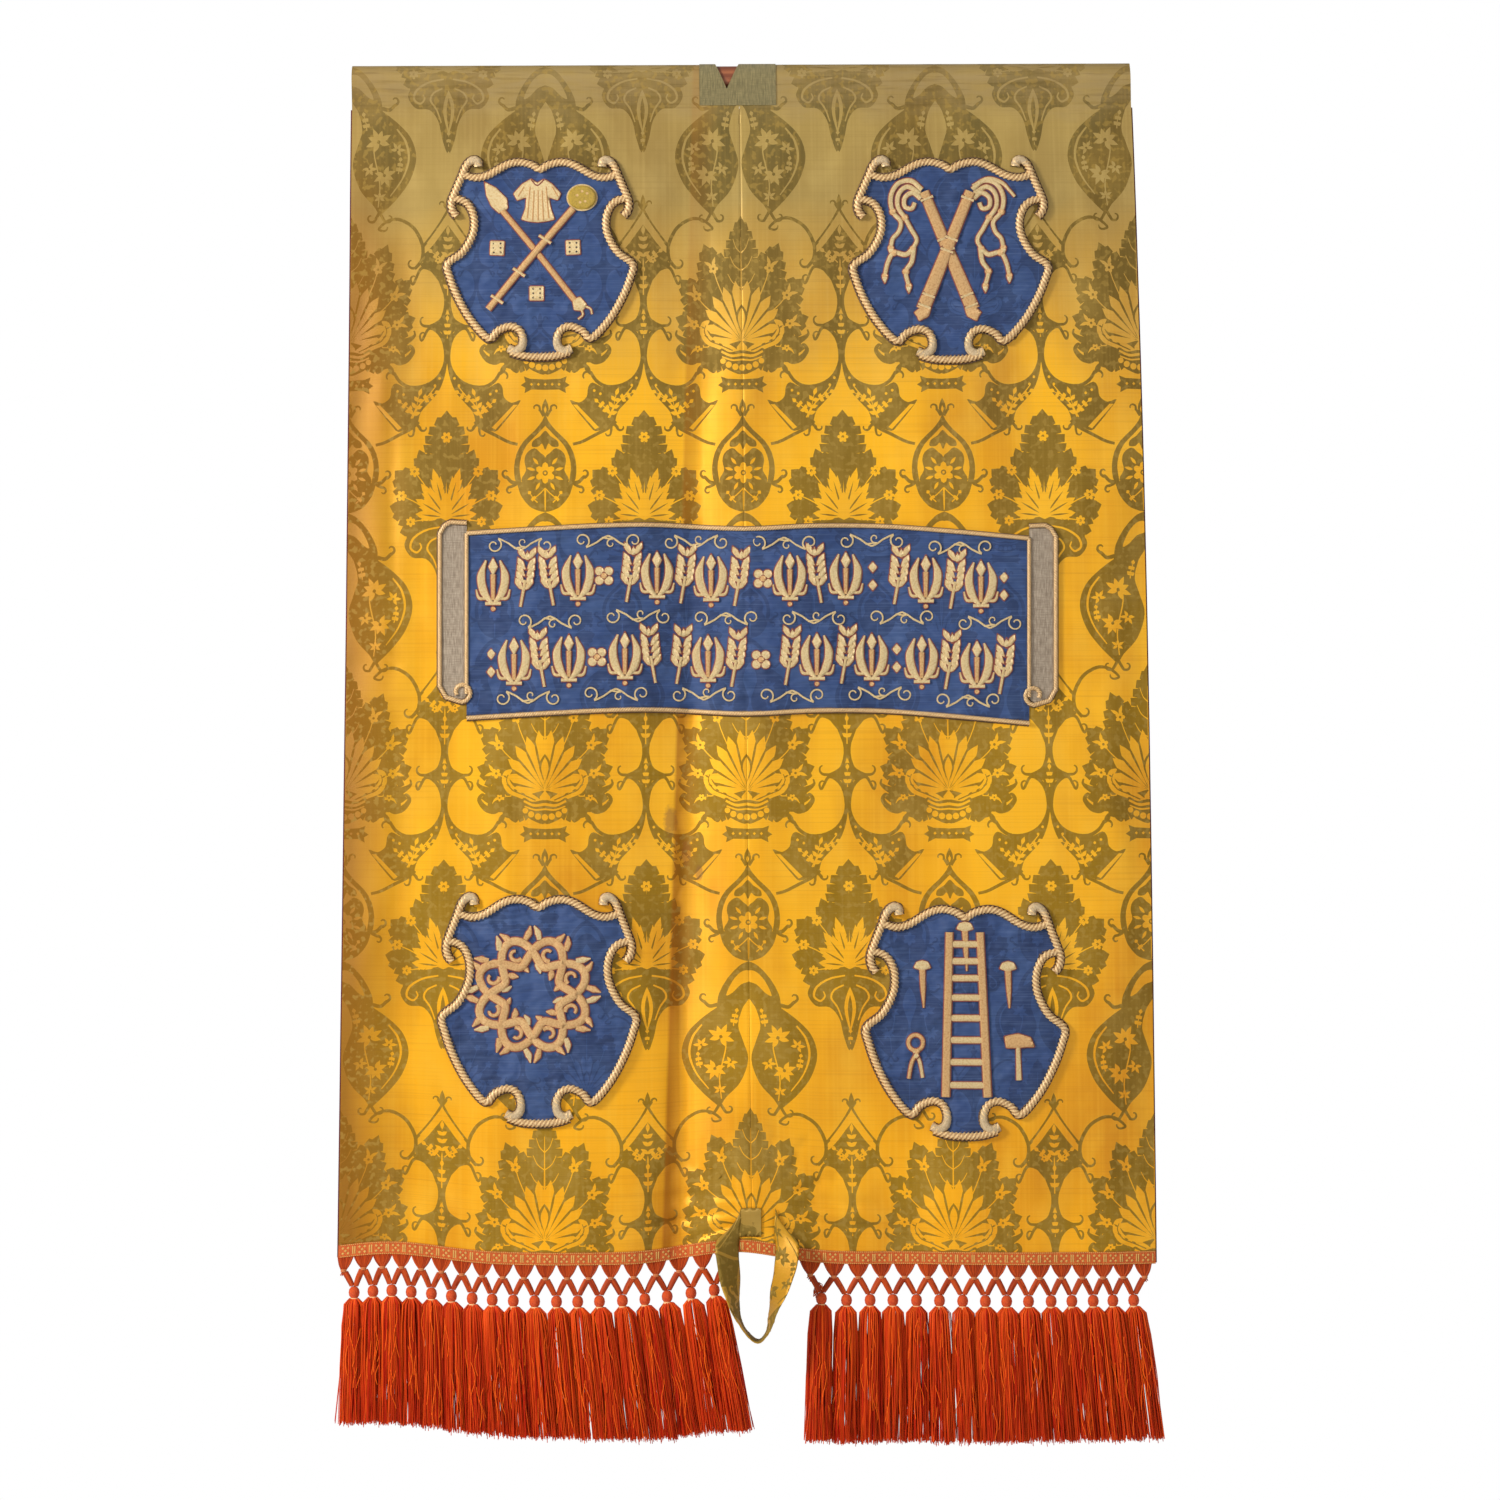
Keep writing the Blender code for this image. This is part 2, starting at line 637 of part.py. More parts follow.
def net_outline(heads):
    """The net's outer edge, then its closed gaps, in X and drop from the braid."""
    pitch = (heads[-1] - heads[0]) / (len(heads) - 1)
    between = [(a + b) / 2 for a, b in zip(heads, heads[1:])]
    ties = [heads[0] - pitch / 2, *between, heads[-1] + pitch / 2]
    high, low = TIE_DROP - TIE_HEIGHT / 2, TIE_DROP + TIE_HEIGHT / 2
    ends = (ties[0] - pitch * WEB_SHARE, ties[-1] + pitch * WEB_SHARE)
    outer = [(ends[0], 0.0), (ends[0], STRIP_HEIGHT)]
    outer += [(ties[0] - TIE_HALF_WIDTH, high), (ties[0] - TIE_HALF_WIDTH, low)]
    for number, head in enumerate(heads):
        outer += [(head - JOIN_HALF_WIDTH, JOIN_DROP), (head + JOIN_HALF_WIDTH, JOIN_DROP)]
        if number < len(heads) - 1:
            outer.append((ties[number + 1], TIE_DROP + TIE_FORK))
    outer += [(ties[-1] + TIE_HALF_WIDTH, low), (ties[-1] + TIE_HALF_WIDTH, high)]
    outer += [(ends[1], STRIP_HEIGHT), (ends[1], 0.0)]
    outer += [(p.x, 0.0) for p in reversed(hem_line()) if ends[0] < p.x < ends[1]]
    gaps = []
    for head, before, after in zip(heads, ties, ties[1:]):
        gaps.append([
            (head, STRIP_HEIGHT), (before + TIE_HALF_WIDTH, high), (before + TIE_HALF_WIDTH, low),
            (head, JOIN_DROP - JOIN_FORK), (after - TIE_HALF_WIDTH, low), (after - TIE_HALF_WIDTH, high),
        ])
    return [outer, *gaps], ties


def build_net(side, heads, parts, cutters, materials):
    """The fringe's knotted net: a strip, the webs below it, and strands that cross at ties."""
    outlines, ties = net_outline(heads)
    placed = [[(x, hem_at(x)[1] - SEWN_GAP - drop) for x, drop in outline] for outline in outlines]
    net = outline_prism(f"fringe_net_{side}", placed, NET_THICKNESS, parts, helper=False)
    net.data.materials.append(materials["orange"])

    bars = bmesh.new()
    size = (2 * TIE_HALF_WIDTH + 2 * TIE_PROUD, NET_THICKNESS + 2 * TIE_PROUD, TIE_HEIGHT)
    for x in ties:
        place = Matrix.Translation((x, 0.0, hem_at(x)[1] - SEWN_GAP - TIE_DROP))
        bmesh.ops.create_cube(bars, size=1.0, matrix=place @ Matrix.Diagonal((*size, 1.0)))
    for knot_side, x, drop, radius in LOOSE_KNOTS:
        if knot_side == side:
            place = Matrix.Translation((x, 0.0, hem_at(x)[1] - SEWN_GAP - drop))
            bmesh.ops.create_icosphere(bars, subdivisions=1, radius=radius, matrix=place)
    bar_mesh = bpy.data.meshes.new(f"ties_{side}")
    bars.to_mesh(bar_mesh)
    bars.free()
    for mesh in (net.data, bar_mesh):
        for vertex in mesh.vertices:
            vertex.co.y += hem_at(vertex.co.x)[0] - NET_THICKNESS / 2
    cut(net, add_helper(f"ties_{side}", bar_mesh, cutters), "UNION")


def tassel_mesh(name, length, lean, dome_radius, tip_radius, seed):
    """A tassel turned from its profile; its lower face is a fan of wedges, each drawn down into a lock."""
    work = bmesh.new()
    profile = [work.verts.new((radius, 0.0, -drop)) for radius, drop in HEAD_PROFILE]
    profile.append(work.verts.new((dome_radius, 0.0, -TASSEL_DOME_DROP)))
    edges = [work.edges.new(pair) for pair in zip(profile, profile[1:])]
    bmesh.ops.spin(work, geom=profile + edges, axis=(0, 0, 1), cent=(0, 0, 0), dvec=(0, 0, 0),
                   angle=2 * math.pi, steps=TASSEL_SIDES)
    bmesh.ops.remove_doubles(work, verts=work.verts, dist=WELD_DISTANCE)
    rim = [edge for edge in work.edges if edge.is_boundary]
    floor = bmesh.ops.contextual_create(work, geom=rim)["faces"]
    bmesh.ops.recalc_face_normals(work, faces=work.faces)
    wedges = bmesh.ops.poke(work, faces=floor)["faces"]
    bmesh.ops.inset_individual(work, faces=wedges, thickness=LOCK_INSET)
    locks = bmesh.ops.extrude_discrete_faces(work, faces=wedges)["faces"]
    uneven = random.Random(seed)
    spread = tip_radius / dome_radius
    for lock in locks:
        tip = -length + uneven.uniform(-TASSEL_UNEVEN, TASSEL_UNEVEN)
        for corner in lock.verts:
            corner.co = Vector((corner.co.x * spread, corner.co.y * spread, tip))
    for vertex in work.verts:
        vertex.co.x -= lean * vertex.co.z
    mesh = bpy.data.meshes.new(name)
    work.to_mesh(mesh)
    work.free()
    return mesh


def build_fringe(parts, cutters, materials):
    for seed, row in enumerate(FRINGES):
        side, count, first, last, first_tip, last_tip, bow, first_length, last_length = row
        heads = spread_heads(count, first, last, bow, seed)
        shares = [(head - first) / (last - first) for head in heads]
        tips = [mix(first_tip, last_tip, share) for share in shares]
        build_net(side, heads, parts, cutters, materials)
        rows = zip(heads, shares, tips, tassel_radii(heads), tassel_radii(tips))
        for number, (head, share, tip, dome_radius, tip_radius) in enumerate(rows, start=1):
            back, hem = hem_at(head)
            length = mix(first_length, last_length, share)
            name = f"tassel_{side}_{number:02d}"
            lean = (tip - head) / length
            mesh = tassel_mesh(name, length, lean, dome_radius, tip_radius, 100 * seed + number)
            tassel = add_object(name, mesh, parts, materials["orange"])
            tassel.location = (head, back - NET_THICKNESS / 2, hem - JOIN_DROP - 2 * SEWN_GAP)


# Pole loop


def build_loop(parts, materials, front_y):
    """A flat band, closed on itself; both its edges keep the station's distance from the cloth."""
    lines = []
    for x, ahead, z, *width in LOOP_STATIONS:
        centre = Vector((x, -ahead - SEWN_GAP - LOOP_THICKNESS / 2, z))
        reach = Vector(width).normalized() * LOOP_WIDTH / 2
        line = [centre + reach, centre - reach]
        for point in line:
            point.y += front_y(point.x, max(point.z, LOOP_CLOTH_BASE))
        lines.append(line)
    mesh = sheet_mesh("pole_loop", lines + lines[:1])
    weld(mesh)
    thicken(add_object("pole_loop", mesh, parts, materials["gold"]), LOOP_THICKNESS, offset=0.0)


def main():
    clear_scene()
    parts = new_collection("church_banner")
    cutters = new_collection("cutters", hidden=True)
    materials = {
        "gold": new_material("gold_damask", GOLD, 0.45),
        "maroon": new_material("maroon_lining", MAROON, 0.7),
        "khaki": new_material("khaki_canvas", KHAKI, 0.8),
        "blue": new_material("blue_damask", BLUE, 0.5),
        "taupe": new_material("taupe_cloth", TAUPE, 0.8),
        "cord": new_material("gold_thread", CORD_GOLD, 0.4, 0.3),
        "orange": new_material("orange_silk", ORANGE, 0.55),
        "wood": new_material("rod_wood", WOOD, 0.5),
    }
    cutter = notch_cutter(cutters)
    build_rod(parts, materials)
    build_cloth(parts, cutter, materials)
    build_patch(parts, cutter, materials)
    front_y = front_finder()
    for number, row in enumerate(SHIELDS, start=1):
        build_shield(number, row, parts, cutters, materials, front_y)
    build_scroll(parts, cutters, materials, front_y)
    build_fringe(parts, cutters, materials)
    build_loop(parts, materials, front_y)


main()
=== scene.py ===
"""Looks of the church banner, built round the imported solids. Metres, +Z up; the banner faces -Y.

Cloth pieces are laid on one surface of soft folds, the same as the solids follow. The woven figure is
worked out once for half a repeat, in millimetres, then mirrored, repeated and laid on the cloth. The
goldwork is drawn on a grid of squares over the cloth's middle and padded up from it.
"""

import math
import random

import bmesh
import bpy
import numpy as np
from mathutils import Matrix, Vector
from mathutils.geometry import delaunay_2d_cdt


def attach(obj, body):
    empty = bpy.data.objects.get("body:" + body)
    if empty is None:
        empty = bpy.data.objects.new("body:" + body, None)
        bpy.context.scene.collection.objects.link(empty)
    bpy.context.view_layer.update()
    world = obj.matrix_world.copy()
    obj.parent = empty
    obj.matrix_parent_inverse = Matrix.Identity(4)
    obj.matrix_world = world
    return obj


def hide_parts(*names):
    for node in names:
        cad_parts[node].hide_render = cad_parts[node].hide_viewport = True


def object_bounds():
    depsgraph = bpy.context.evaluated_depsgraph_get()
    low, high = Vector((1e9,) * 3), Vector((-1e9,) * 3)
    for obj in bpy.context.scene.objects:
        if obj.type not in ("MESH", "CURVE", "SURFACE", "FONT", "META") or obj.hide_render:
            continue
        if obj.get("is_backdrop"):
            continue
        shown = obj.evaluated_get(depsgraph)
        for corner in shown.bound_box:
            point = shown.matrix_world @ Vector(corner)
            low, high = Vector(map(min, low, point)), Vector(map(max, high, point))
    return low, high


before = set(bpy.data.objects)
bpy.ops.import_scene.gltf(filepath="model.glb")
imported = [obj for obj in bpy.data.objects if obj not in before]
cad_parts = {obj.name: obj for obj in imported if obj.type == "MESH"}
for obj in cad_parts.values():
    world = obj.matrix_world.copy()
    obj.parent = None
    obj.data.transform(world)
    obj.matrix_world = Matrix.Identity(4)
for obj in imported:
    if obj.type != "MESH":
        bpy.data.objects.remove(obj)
cad_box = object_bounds()
MM = 0.001

# Hanging shape, as the solids have it
ROD_RADIUS = 0.014
ROD_SLOPE = 0.0035
SEWN_GAP = 0.0003
SLEEVE_DEPTH = 0.050
HALF_WIDTH = 0.515
DROP = 1.500
FRONT_THICKNESS = 0.0015
LINING_THICKNESS = 0.0010
LINING_OVERHANG = 0.0018
LINING_TOP = 0.0530
SEAM_TOP_X = 0.016
SEAM_HEM_X = 0.0325
LEFT_SCALE = (0.939, 1.007)
RIGHT_SCALE = (0.949, 0.983)
SEAM_HALF_GAP = 0.00015
FOLDS_FULL_BELOW_SLEEVE = 0.25
FOLDS = (
    # x_top, x_hem, half_width, depth_top, depth_middle, depth_hem
    (-0.535, -0.535, 0.050, 0.004, 0.022, 0.012),
    (-0.220, -0.240, 0.110, -0.003, -0.008, -0.012),
    (-0.062, -0.098, 0.034, 0.006, 0.011, 0.016),
    (0.050, 0.020, 0.060, -0.002, -0.006, -0.008),
    (0.150, 0.190, 0.050, 0.002, 0.005, 0.007),
    (0.330, 0.340, 0.090, -0.003, -0.007, -0.008),
    (0.535, 0.535, 0.050, 0.006, 0.014, 0.013),
)
HEM_LIFTS = (
    # x, half_width, height
    (0.015, 0.075, 0.016),
    (-0.420, 0.085, 0.013),
)
LIFT_START = 0.72

# Sharper creases on top of the folds, across and down the flat cloth; a positive depth goes back
CREASES = (
    # u_start, down_start, u_end, down_end, half_width, depth
    (-0.014, 1.405, -0.045, 1.345, 0.0055, 0.0026),
    (-0.006, 1.418, -0.085, 1.380, 0.0055, 0.0030),
    (-0.004, 1.432, -0.120, 1.420, 0.0055, 0.0030),
    (-0.004, 1.447, -0.150, 1.456, 0.0060, 0.0026),
    (-0.004, 1.460, -0.095, 1.486, 0.0055, 0.0024),
    (0.042, 1.405, 0.072, 1.345, 0.0055, 0.0026),
    (0.050, 1.418, 0.120, 1.385, 0.0055, 0.0030),
    (0.052, 1.432, 0.160, 1.420, 0.0055, 0.0030),
    (0.052, 1.447, 0.175, 1.456, 0.0060, 0.0026),
    (0.050, 1.460, 0.125, 1.484, 0.0055, 0.0022),
    (0.006, 1.400, -0.004, 1.330, 0.0050, 0.0018),
    (0.026, 1.400, 0.030, 1.325, 0.0050, 0.0018),
    (0.120, 1.33, 0.300, 1.425, 0.0140, 0.0026),
    (0.230, 1.37, 0.440, 1.455, 0.0140, 0.0022),
    (-0.430, 1.30, -0.370, 1.46, 0.0120, 0.0016),
    (-0.460, 0.35, -0.445, 1.05, 0.0100, 0.0014),
    (0.452, 0.30, 0.446, 0.95, 0.0090, 0.0012),
    (0.150, 0.14, 0.158, 0.52, 0.0070, 0.0008),
    (0.402, 0.62, 0.415, 1.10, 0.0110, 0.0010),
    (-0.300, 0.75, -0.285, 1.08, 0.0120, 0.0010),
)
CREASE_ENDS = (0.04, 0.96)
CREASES_FULL_BELOW_SLEEVE = 0.04
RIPPLE = 0.0009
RIPPLES = (
    # share of the depth, then across and down: radians to the metre, sway, radians to the metre of the sway
    (1.0, 58, 3, 5.1, 9, 2, 7),
    (0.4, 133, 2, 17, 23, 2, 11),
)

# The long fold left of the seam: the cloth drops away on the right of a crisp edge
EDGE_FOLD = (
    # down, u, depth
    (0.06, -0.060, 0.0000), (0.25, -0.068, 0.0026), (0.60, -0.082, 0.0024), (0.80, -0.090, 0.0058),
    (1.30, -0.106, 0.0080), (1.50, -0.108, 0.0040),
)
EDGE_FOLD_FALL = 0.020
EDGE_FOLD_RETURN = 0.060
EDGE_FOLD_LIP = 0.25
SEAM_GROOVE = 0.0013
SEAM_GROOVE_DEPTH = 0.0009
GROOVE_FULL_BELOW_SLEEVE = 0.01


def mix(a, b, share):
    return a + (b - a) * share


def smooth(share):
    share = np.clip(share, 0.0, 1.0)
    return share * share * (3.0 - 2.0 * share)


# Cloth surface


def side_scales(share):
    """How much narrower the left and right panels hang here than they lie flat."""
    return mix(*LEFT_SCALE, share), mix(*RIGHT_SCALE, 1.0 - (1.0 - share) ** 3)


def across(u, share):
    seam = mix(SEAM_TOP_X, SEAM_HEM_X, share)
    left, right = side_scales(share)
    return seam + u * np.where(u < 0, left, right)


def lift(x, share):
    rise = sum(height * np.exp(-(((x - at) / half) ** 2)) for at, half, height in HEM_LIFTS)
    return rise * smooth((share - LIFT_START) / (1.0 - LIFT_START))


def fold_depth(u, down):
    share = down / DROP
    total = 0.0
    for x_top, x_hem, half_width, top, middle, hem in FOLDS:
        depth = np.interp(share, (0.0, 0.5, 1.0), (top, middle, hem))
        total = total + depth * np.exp(-(((u - mix(x_top, x_hem, share)) / half_width) ** 2))
    return total * smooth((down - SLEEVE_DEPTH) / FOLDS_FULL_BELOW_SLEEVE)


def crease_depth(u, down):
    total = 0.0
    for u0, down0, u1, down1, half_width, depth in CREASES:
        along_u, along_down = u1 - u0, down1 - down0
        length = along_u ** 2 + along_down ** 2
        share = np.clip(((u - u0) * along_u + (down - down0) * along_down) / length, 0.0, 1.0)
        far = np.hypot(u - u0 - share * along_u, down - down0 - share * along_down)
        fade = np.sin(math.pi * np.clip(share, *CREASE_ENDS)) ** 0.5
        total = total + depth * fade * np.exp(-((far / half_width) ** 2))
    at, place, depth = zip(*EDGE_FOLD)
    beside = u - np.interp(down, at, place)
    fall = smooth(beside / EDGE_FOLD_FALL) * np.exp(-((np.maximum(beside, 0.0) / EDGE_FOLD_RETURN) ** 2))
    lip = EDGE_FOLD_LIP * np.exp(-((beside / EDGE_FOLD_FALL) ** 2))
    total = total + np.interp(down, at, depth) * (fall - lip)
    for size, rate, sway, turn, down_rate, down_sway, down_turn in RIPPLES:
        beat = np.sin(down_rate * down + down_sway * np.sin(down_turn * u))
        total = total + RIPPLE * size * np.sin(rate * u + sway * np.sin(turn * down)) * beat
    groove = np.clip(1.0 - np.abs(u) / SEAM_GROOVE, 0.0, 1.0)
    below = down - SLEEVE_DEPTH
    total = total * smooth(below / CREASES_FULL_BELOW_SLEEVE)
    return total + SEAM_GROOVE_DEPTH * groove * smooth(below / GROOVE_FULL_BELOW_SLEEVE)


def sleeve_profile(up, out):
    """Back and height, from the rod's middle, of a sheet this far along it from the stitching."""
    reach = SLEEVE_DEPTH - ROD_RADIUS
    radius = ROD_RADIUS + SEWN_GAP + out
    low = np.arcsin(radius / reach)
    straight = reach * np.cos(low)
    arc = (math.pi + 2 * low) * radius
    angle = np.clip((up - straight) / radius, 0.0, arc / radius) - low
    back, high = -radius * np.cos(angle), radius * np.sin(angle)
    rise = np.clip(up / straight, 0.0, 1.0)
    fall = np.clip((up - straight - arc) / straight, 0.0, 1.0)
    back = np.where(up < straight, mix(-out, -radius * np.cos(-low), rise), back)
    high = np.where(up < straight, mix(-reach, -radius * np.sin(low), rise), high)
    back = np.where(fall > 0, mix(back, out, fall), back)
    high = np.where(fall > 0, mix(high, -reach, fall), high)
    return back, high


def sleeve_length(out):
    radius = ROD_RADIUS + SEWN_GAP + out
    low = math.asin(radius / (SLEEVE_DEPTH - ROD_RADIUS))
    return 2 * (SLEEVE_DEPTH - ROD_RADIUS) * math.cos(low) + (math.pi + 2 * low) * radius


def cloth(u, down, out=FRONT_THICKNESS):
    """Places this far in front of the hanging cloth's back, u across from the seam, down from the rod."""
    u, down = np.broadcast_arrays(np.asarray(u, float), np.asarray(down, float))
    hung = np.maximum(down, SLEEVE_DEPTH)
    share = hung / DROP
    x = across(u, np.maximum(down, 0.0) / DROP)
    back = fold_depth(u, hung) + crease_depth(u, hung) - out
    high = -hung + ROD_SLOPE * x * (1.0 - share) + lift(x, share)
    sleeve_back, sleeve_high = sleeve_profile(SLEEVE_DEPTH - down, out)
    over = down < SLEEVE_DEPTH
    back = np.where(over, sleeve_back, back)
    high = np.where(over, sleeve_high + ROD_SLOPE * x - ROD_RADIUS, high)
    return np.stack([x, back, high], axis=-1)


def locate(x, z):
    """The flat cloth's u and down for places seen from the front."""
    x, z = np.asarray(x, float), np.asarray(z, float)
    down = -z
    for _ in range(6):
        share = np.clip(down / DROP, 0.0, 1.05)
        down = -z + ROD_SLOPE * x * (1.0 - share) + lift(x, share)
    share = down / DROP
    seam = mix(SEAM_TOP_X, SEAM_HEM_X, share)
    left, right = side_scales(share)
    return (x - seam) / np.where(x < seam, left, right), down


def on_front(x, z, out):
    """Places this far in front of the banner's front face, for points seen from the front."""
    u, down = locate(x, z)
    return cloth(u, down, FRONT_THICKNESS + out)


# Finishes


class Shader:
    """Short names for building a node material."""

    def __init__(self, name, roughness, metallic=0.0, sheen=0.0):
        self.material = bpy.data.materials.new(name)
        self.material.use_nodes = True
        self.tree = self.material.node_tree
        self.base = self.tree.nodes["Principled BSDF"]
        self.base.inputs["Roughness"].default_value = roughness
        self.base.inputs["Metallic"].default_value = metallic
        if sheen:
            self.base.inputs["Sheen Weight"].default_value = sheen
            self.base.inputs["Sheen Roughness"].default_value = 0.5

    def node(self, kind, **settings):
        made = self.tree.nodes.new(kind)
        for key, value in settings.items():
            setattr(made, key, value)
        return made

    def join(self, source, target):
        self.tree.links.new(source, target)

    def flat(self, scale=(1, 1, 1), turn=0.0):
        spot = self.node("ShaderNodeUVMap", uv_map="flat")
        mapping = self.node("ShaderNodeMapping")
        mapping.inputs["Scale"].default_value = scale
        mapping.inputs["Rotation"].default_value = (0, 0, turn)
        self.join(spot.outputs[0], mapping.inputs[0])
        return mapping.outputs[0]

    def noise(self, where, scale, detail=2.0):
        made = self.node("ShaderNodeTexNoise")
        made.inputs["Scale"].default_value = scale
        made.inputs["Detail"].default_value = detail
        self.join(where, made.inputs["Vector"])
        return made.outputs[0]

    def wave(self, where, scale, axis, distort, detail=0.0):
        made = self.node("ShaderNodeTexWave", bands_direction=axis, wave_profile="SIN")
        made.inputs["Scale"].default_value = scale
        made.inputs["Distortion"].default_value = distort
        made.inputs["Detail"].default_value = detail
        self.join(where, made.inputs["Vector"])
        return made.outputs["Fac"]

    def ramp(self, value, low, high, start=0.0, end=1.0):
        made = self.node("ShaderNodeMapRange", clamp=True)
        for key, number in (("From Min", low), ("From Max", high), ("To Min", start), ("To Max", end)):
            made.inputs[key].default_value = number
        self.join(value, made.inputs["Value"])
        return made.outputs[0]

    def maths(self, operation, a, b):
        made = self.node("ShaderNodeMath", operation=operation)
        for slot, value in zip(made.inputs, (a, b)):
            self.fill(slot, value)
        return made.outputs[0]

    def fill(self, slot, value):
        if isinstance(value, (int, float, tuple)):
            slot.default_value = value
        else:
            self.join(value, slot)

    def blend(self, share, first, second):
        made = self.node("ShaderNodeMix", data_type="RGBA", blend_type="MIX", clamp_factor=True)
        for place, value in ((0, share), (6, first), (7, second)):
            self.fill(made.inputs[place], value)
        return made.outputs[2]

    def tone(self):
        return self.node("ShaderNodeAttribute", attribute_name="tone").outputs["Fac"]

    def bump(self, height, distance, strength=1.0):
        made = self.node("ShaderNodeBump")
        made.inputs["Strength"].default_value = strength
        made.inputs["Distance"].default_value = distance
        self.join(height, made.inputs["Height"])
        self.join(made.outputs[0], self.base.inputs["Normal"])

    def dull(self, specular):
        self.base.inputs["Specular IOR Level"].default_value = specular

    def colour(self, value):
        self.join(value, self.base.inputs["Base Color"])
        return self.material


def rgb(red, green, blue):
    """A linear colour from ordinary 0-255 values."""
    return (*[((v / 255 + 0.055) / 1.055) ** 2.4 if v > 10 else v / 3294.6 for v in (red, green, blue)], 1.0)


GOLD_UPPER = rgb(170, 142, 76)
GOLD_MIDDLE = rgb(246, 180, 22)
GOLD_LOWER = rgb(244, 170, 6)
GOLD_TOP_BAND = rgb(164, 140, 92)
GOLD_BARE_THREAD = rgb(118, 98, 62)
GOLD_DARK = (rgb(146, 118, 62), rgb(190, 116, 6))
GOLD_LIGHT = (rgb(200, 172, 102), rgb(248, 192, 56))
FIGURE_UPPER = rgb(108, 92, 48)
FIGURE_LOWER = rgb(150, 114, 24)
FIGURE_DARK = rgb(110, 82, 30)
FIGURE_LIGHT = rgb(176, 144, 70)
STRAP_FADED = rgb(132, 106, 34)
WORN = rgb(130, 88, 50)
# Painted shade in the long fold left of the seam
FOLD_SHADE = rgb(158, 86, 4)
# Painted shade along the left border
LEFT_BORDER_PAINTED_SHADE = rgb(126, 80, 4)
BLUE = rgb(40, 66, 116)
BLUE_CLOUD = rgb(62, 88, 132)
BLUE_FIGURE = rgb(32, 54, 98)
BLUE_FIGURE_CLOUD = rgb(50, 74, 116)
BLUE_WEFT = rgb(92, 116, 160)
UPPER_FADE_START = 0.24
UPPER_FADE_END = 0.48
# Left edge of the painted fold shade: u at the top, and its change for each metre down
FOLD_SHADE_TOP = -0.062
FOLD_SHADE_SLOPE = -0.034
STAINS = (
    # u, down, half_width, half_height
    (-0.098, 0.945, 0.010, 0.024),
    (-0.078, 0.985, 0.008, 0.020),
    (-0.062, 1.010, 0.006, 0.012),
)


def damask_material(name, figure, flat_strip=False):
    """Satin ground or duller woven figure, worn and faded towards the top."""
    s = Shader(name, 0.62 if figure else 0.40, 0.0 if figure else 0.25)
    split = s.node("ShaderNodeSeparateXYZ")
    s.join(s.flat(), split.inputs[0])
    down = split.outputs[1]
    if figure:
        body = s.blend(s.ramp(down, 0.10, 0.75), FIGURE_UPPER, FIGURE_LOWER)
        dark, light = FIGURE_DARK, FIGURE_LIGHT
    else:
        uneven_down = s.maths("ADD", down, s.maths("MULTIPLY", s.noise(s.flat((6, 4, 1)), 1.0, 3.0), 0.16))
        body = s.blend(s.ramp(uneven_down, UPPER_FADE_START, UPPER_FADE_END), GOLD_UPPER, GOLD_MIDDLE)
        body = s.blend(s.ramp(down, 0.9, 1.45), body, GOLD_LOWER)
        fresh = s.ramp(down, 0.18, 0.50)
        dark = s.blend(fresh, *GOLD_DARK)
        light = s.blend(fresh, *GOLD_LIGHT)
    body = s.blend(s.ramp(s.noise(s.flat((1, 0.5, 1)), 7.0, 3.0), 0.42, 0.66, 0.0, 0.62), body, dark)
    body = s.blend(s.ramp(s.noise(s.flat((1, 0.6, 1)), 19.0, 4.0), 0.48, 0.74, 0.0, 0.40), body, light)
    body = s.blend(s.ramp(s.noise(s.flat((240, 2.4, 1)), 1.0, 2.0), 0.45, 0.75, 0.0, 0.22), body, light)
    body = s.blend(s.ramp(s.noise(s.flat((3.0, 520, 1)), 1.0, 2.0), 0.5, 0.8, 0.0, 0.30), body, dark)
    if flat_strip:
        body = s.blend(0.42, body, STRAP_FADED)
    else:
        body = worn_top(s, body, down, figure)
        # Stains, then painted shade in the long fold and along the left border
        body = stains_and_painted_shade(s, body, split.outputs[0], down)
    if figure:
        sprigs = s.ramp(s.noise(s.flat((1, 1, 1)), 130.0, 1.5), 0.54, 0.62, 0.0, 0.34)
        body = s.blend(sprigs, body, light)
    s.dull(0.12 if figure else 0.34)
    threads = s.wave(s.flat(), 300.0 if figure else 520.0, "X", 0.6, detail=1.0)
    cross = s.wave(s.flat(), 340.0, "Y", 0.6, detail=1.0)
    s.bump(s.maths("ADD", s.maths("MULTIPLY", threads, 0.6), cross), 0.00016, 0.55 if figure else 0.3)
    return s.colour(body)


def worn_top(s, body, down, figure):
    """Patchy fading along the top edge, with threads worn away across it."""
    edge = s.maths("ADD", down, s.maths("MULTIPLY", s.noise(s.flat((16, 26, 1)), 1.0, 4.0), 0.07))
    faded = s.ramp(edge, 0.062, 0.108, 1.0, 0.0)
    patches = s.noise(s.flat((30, 110, 1)), 1.0, 3.0)
    faded = s.maths("MULTIPLY", faded, s.ramp(patches, 0.30, 0.62, 0.35, 0.92))
    threads = s.noise(s.flat((14, 260, 1)), 1.0, 2.0)
    band = s.blend(s.ramp(threads, 0.54, 0.66, 0.0, 0.6), GOLD_TOP_BAND, GOLD_BARE_THREAD)
    return s.blend(s.maths("MULTIPLY", faded, 0.55 if figure else 0.85), body, band)


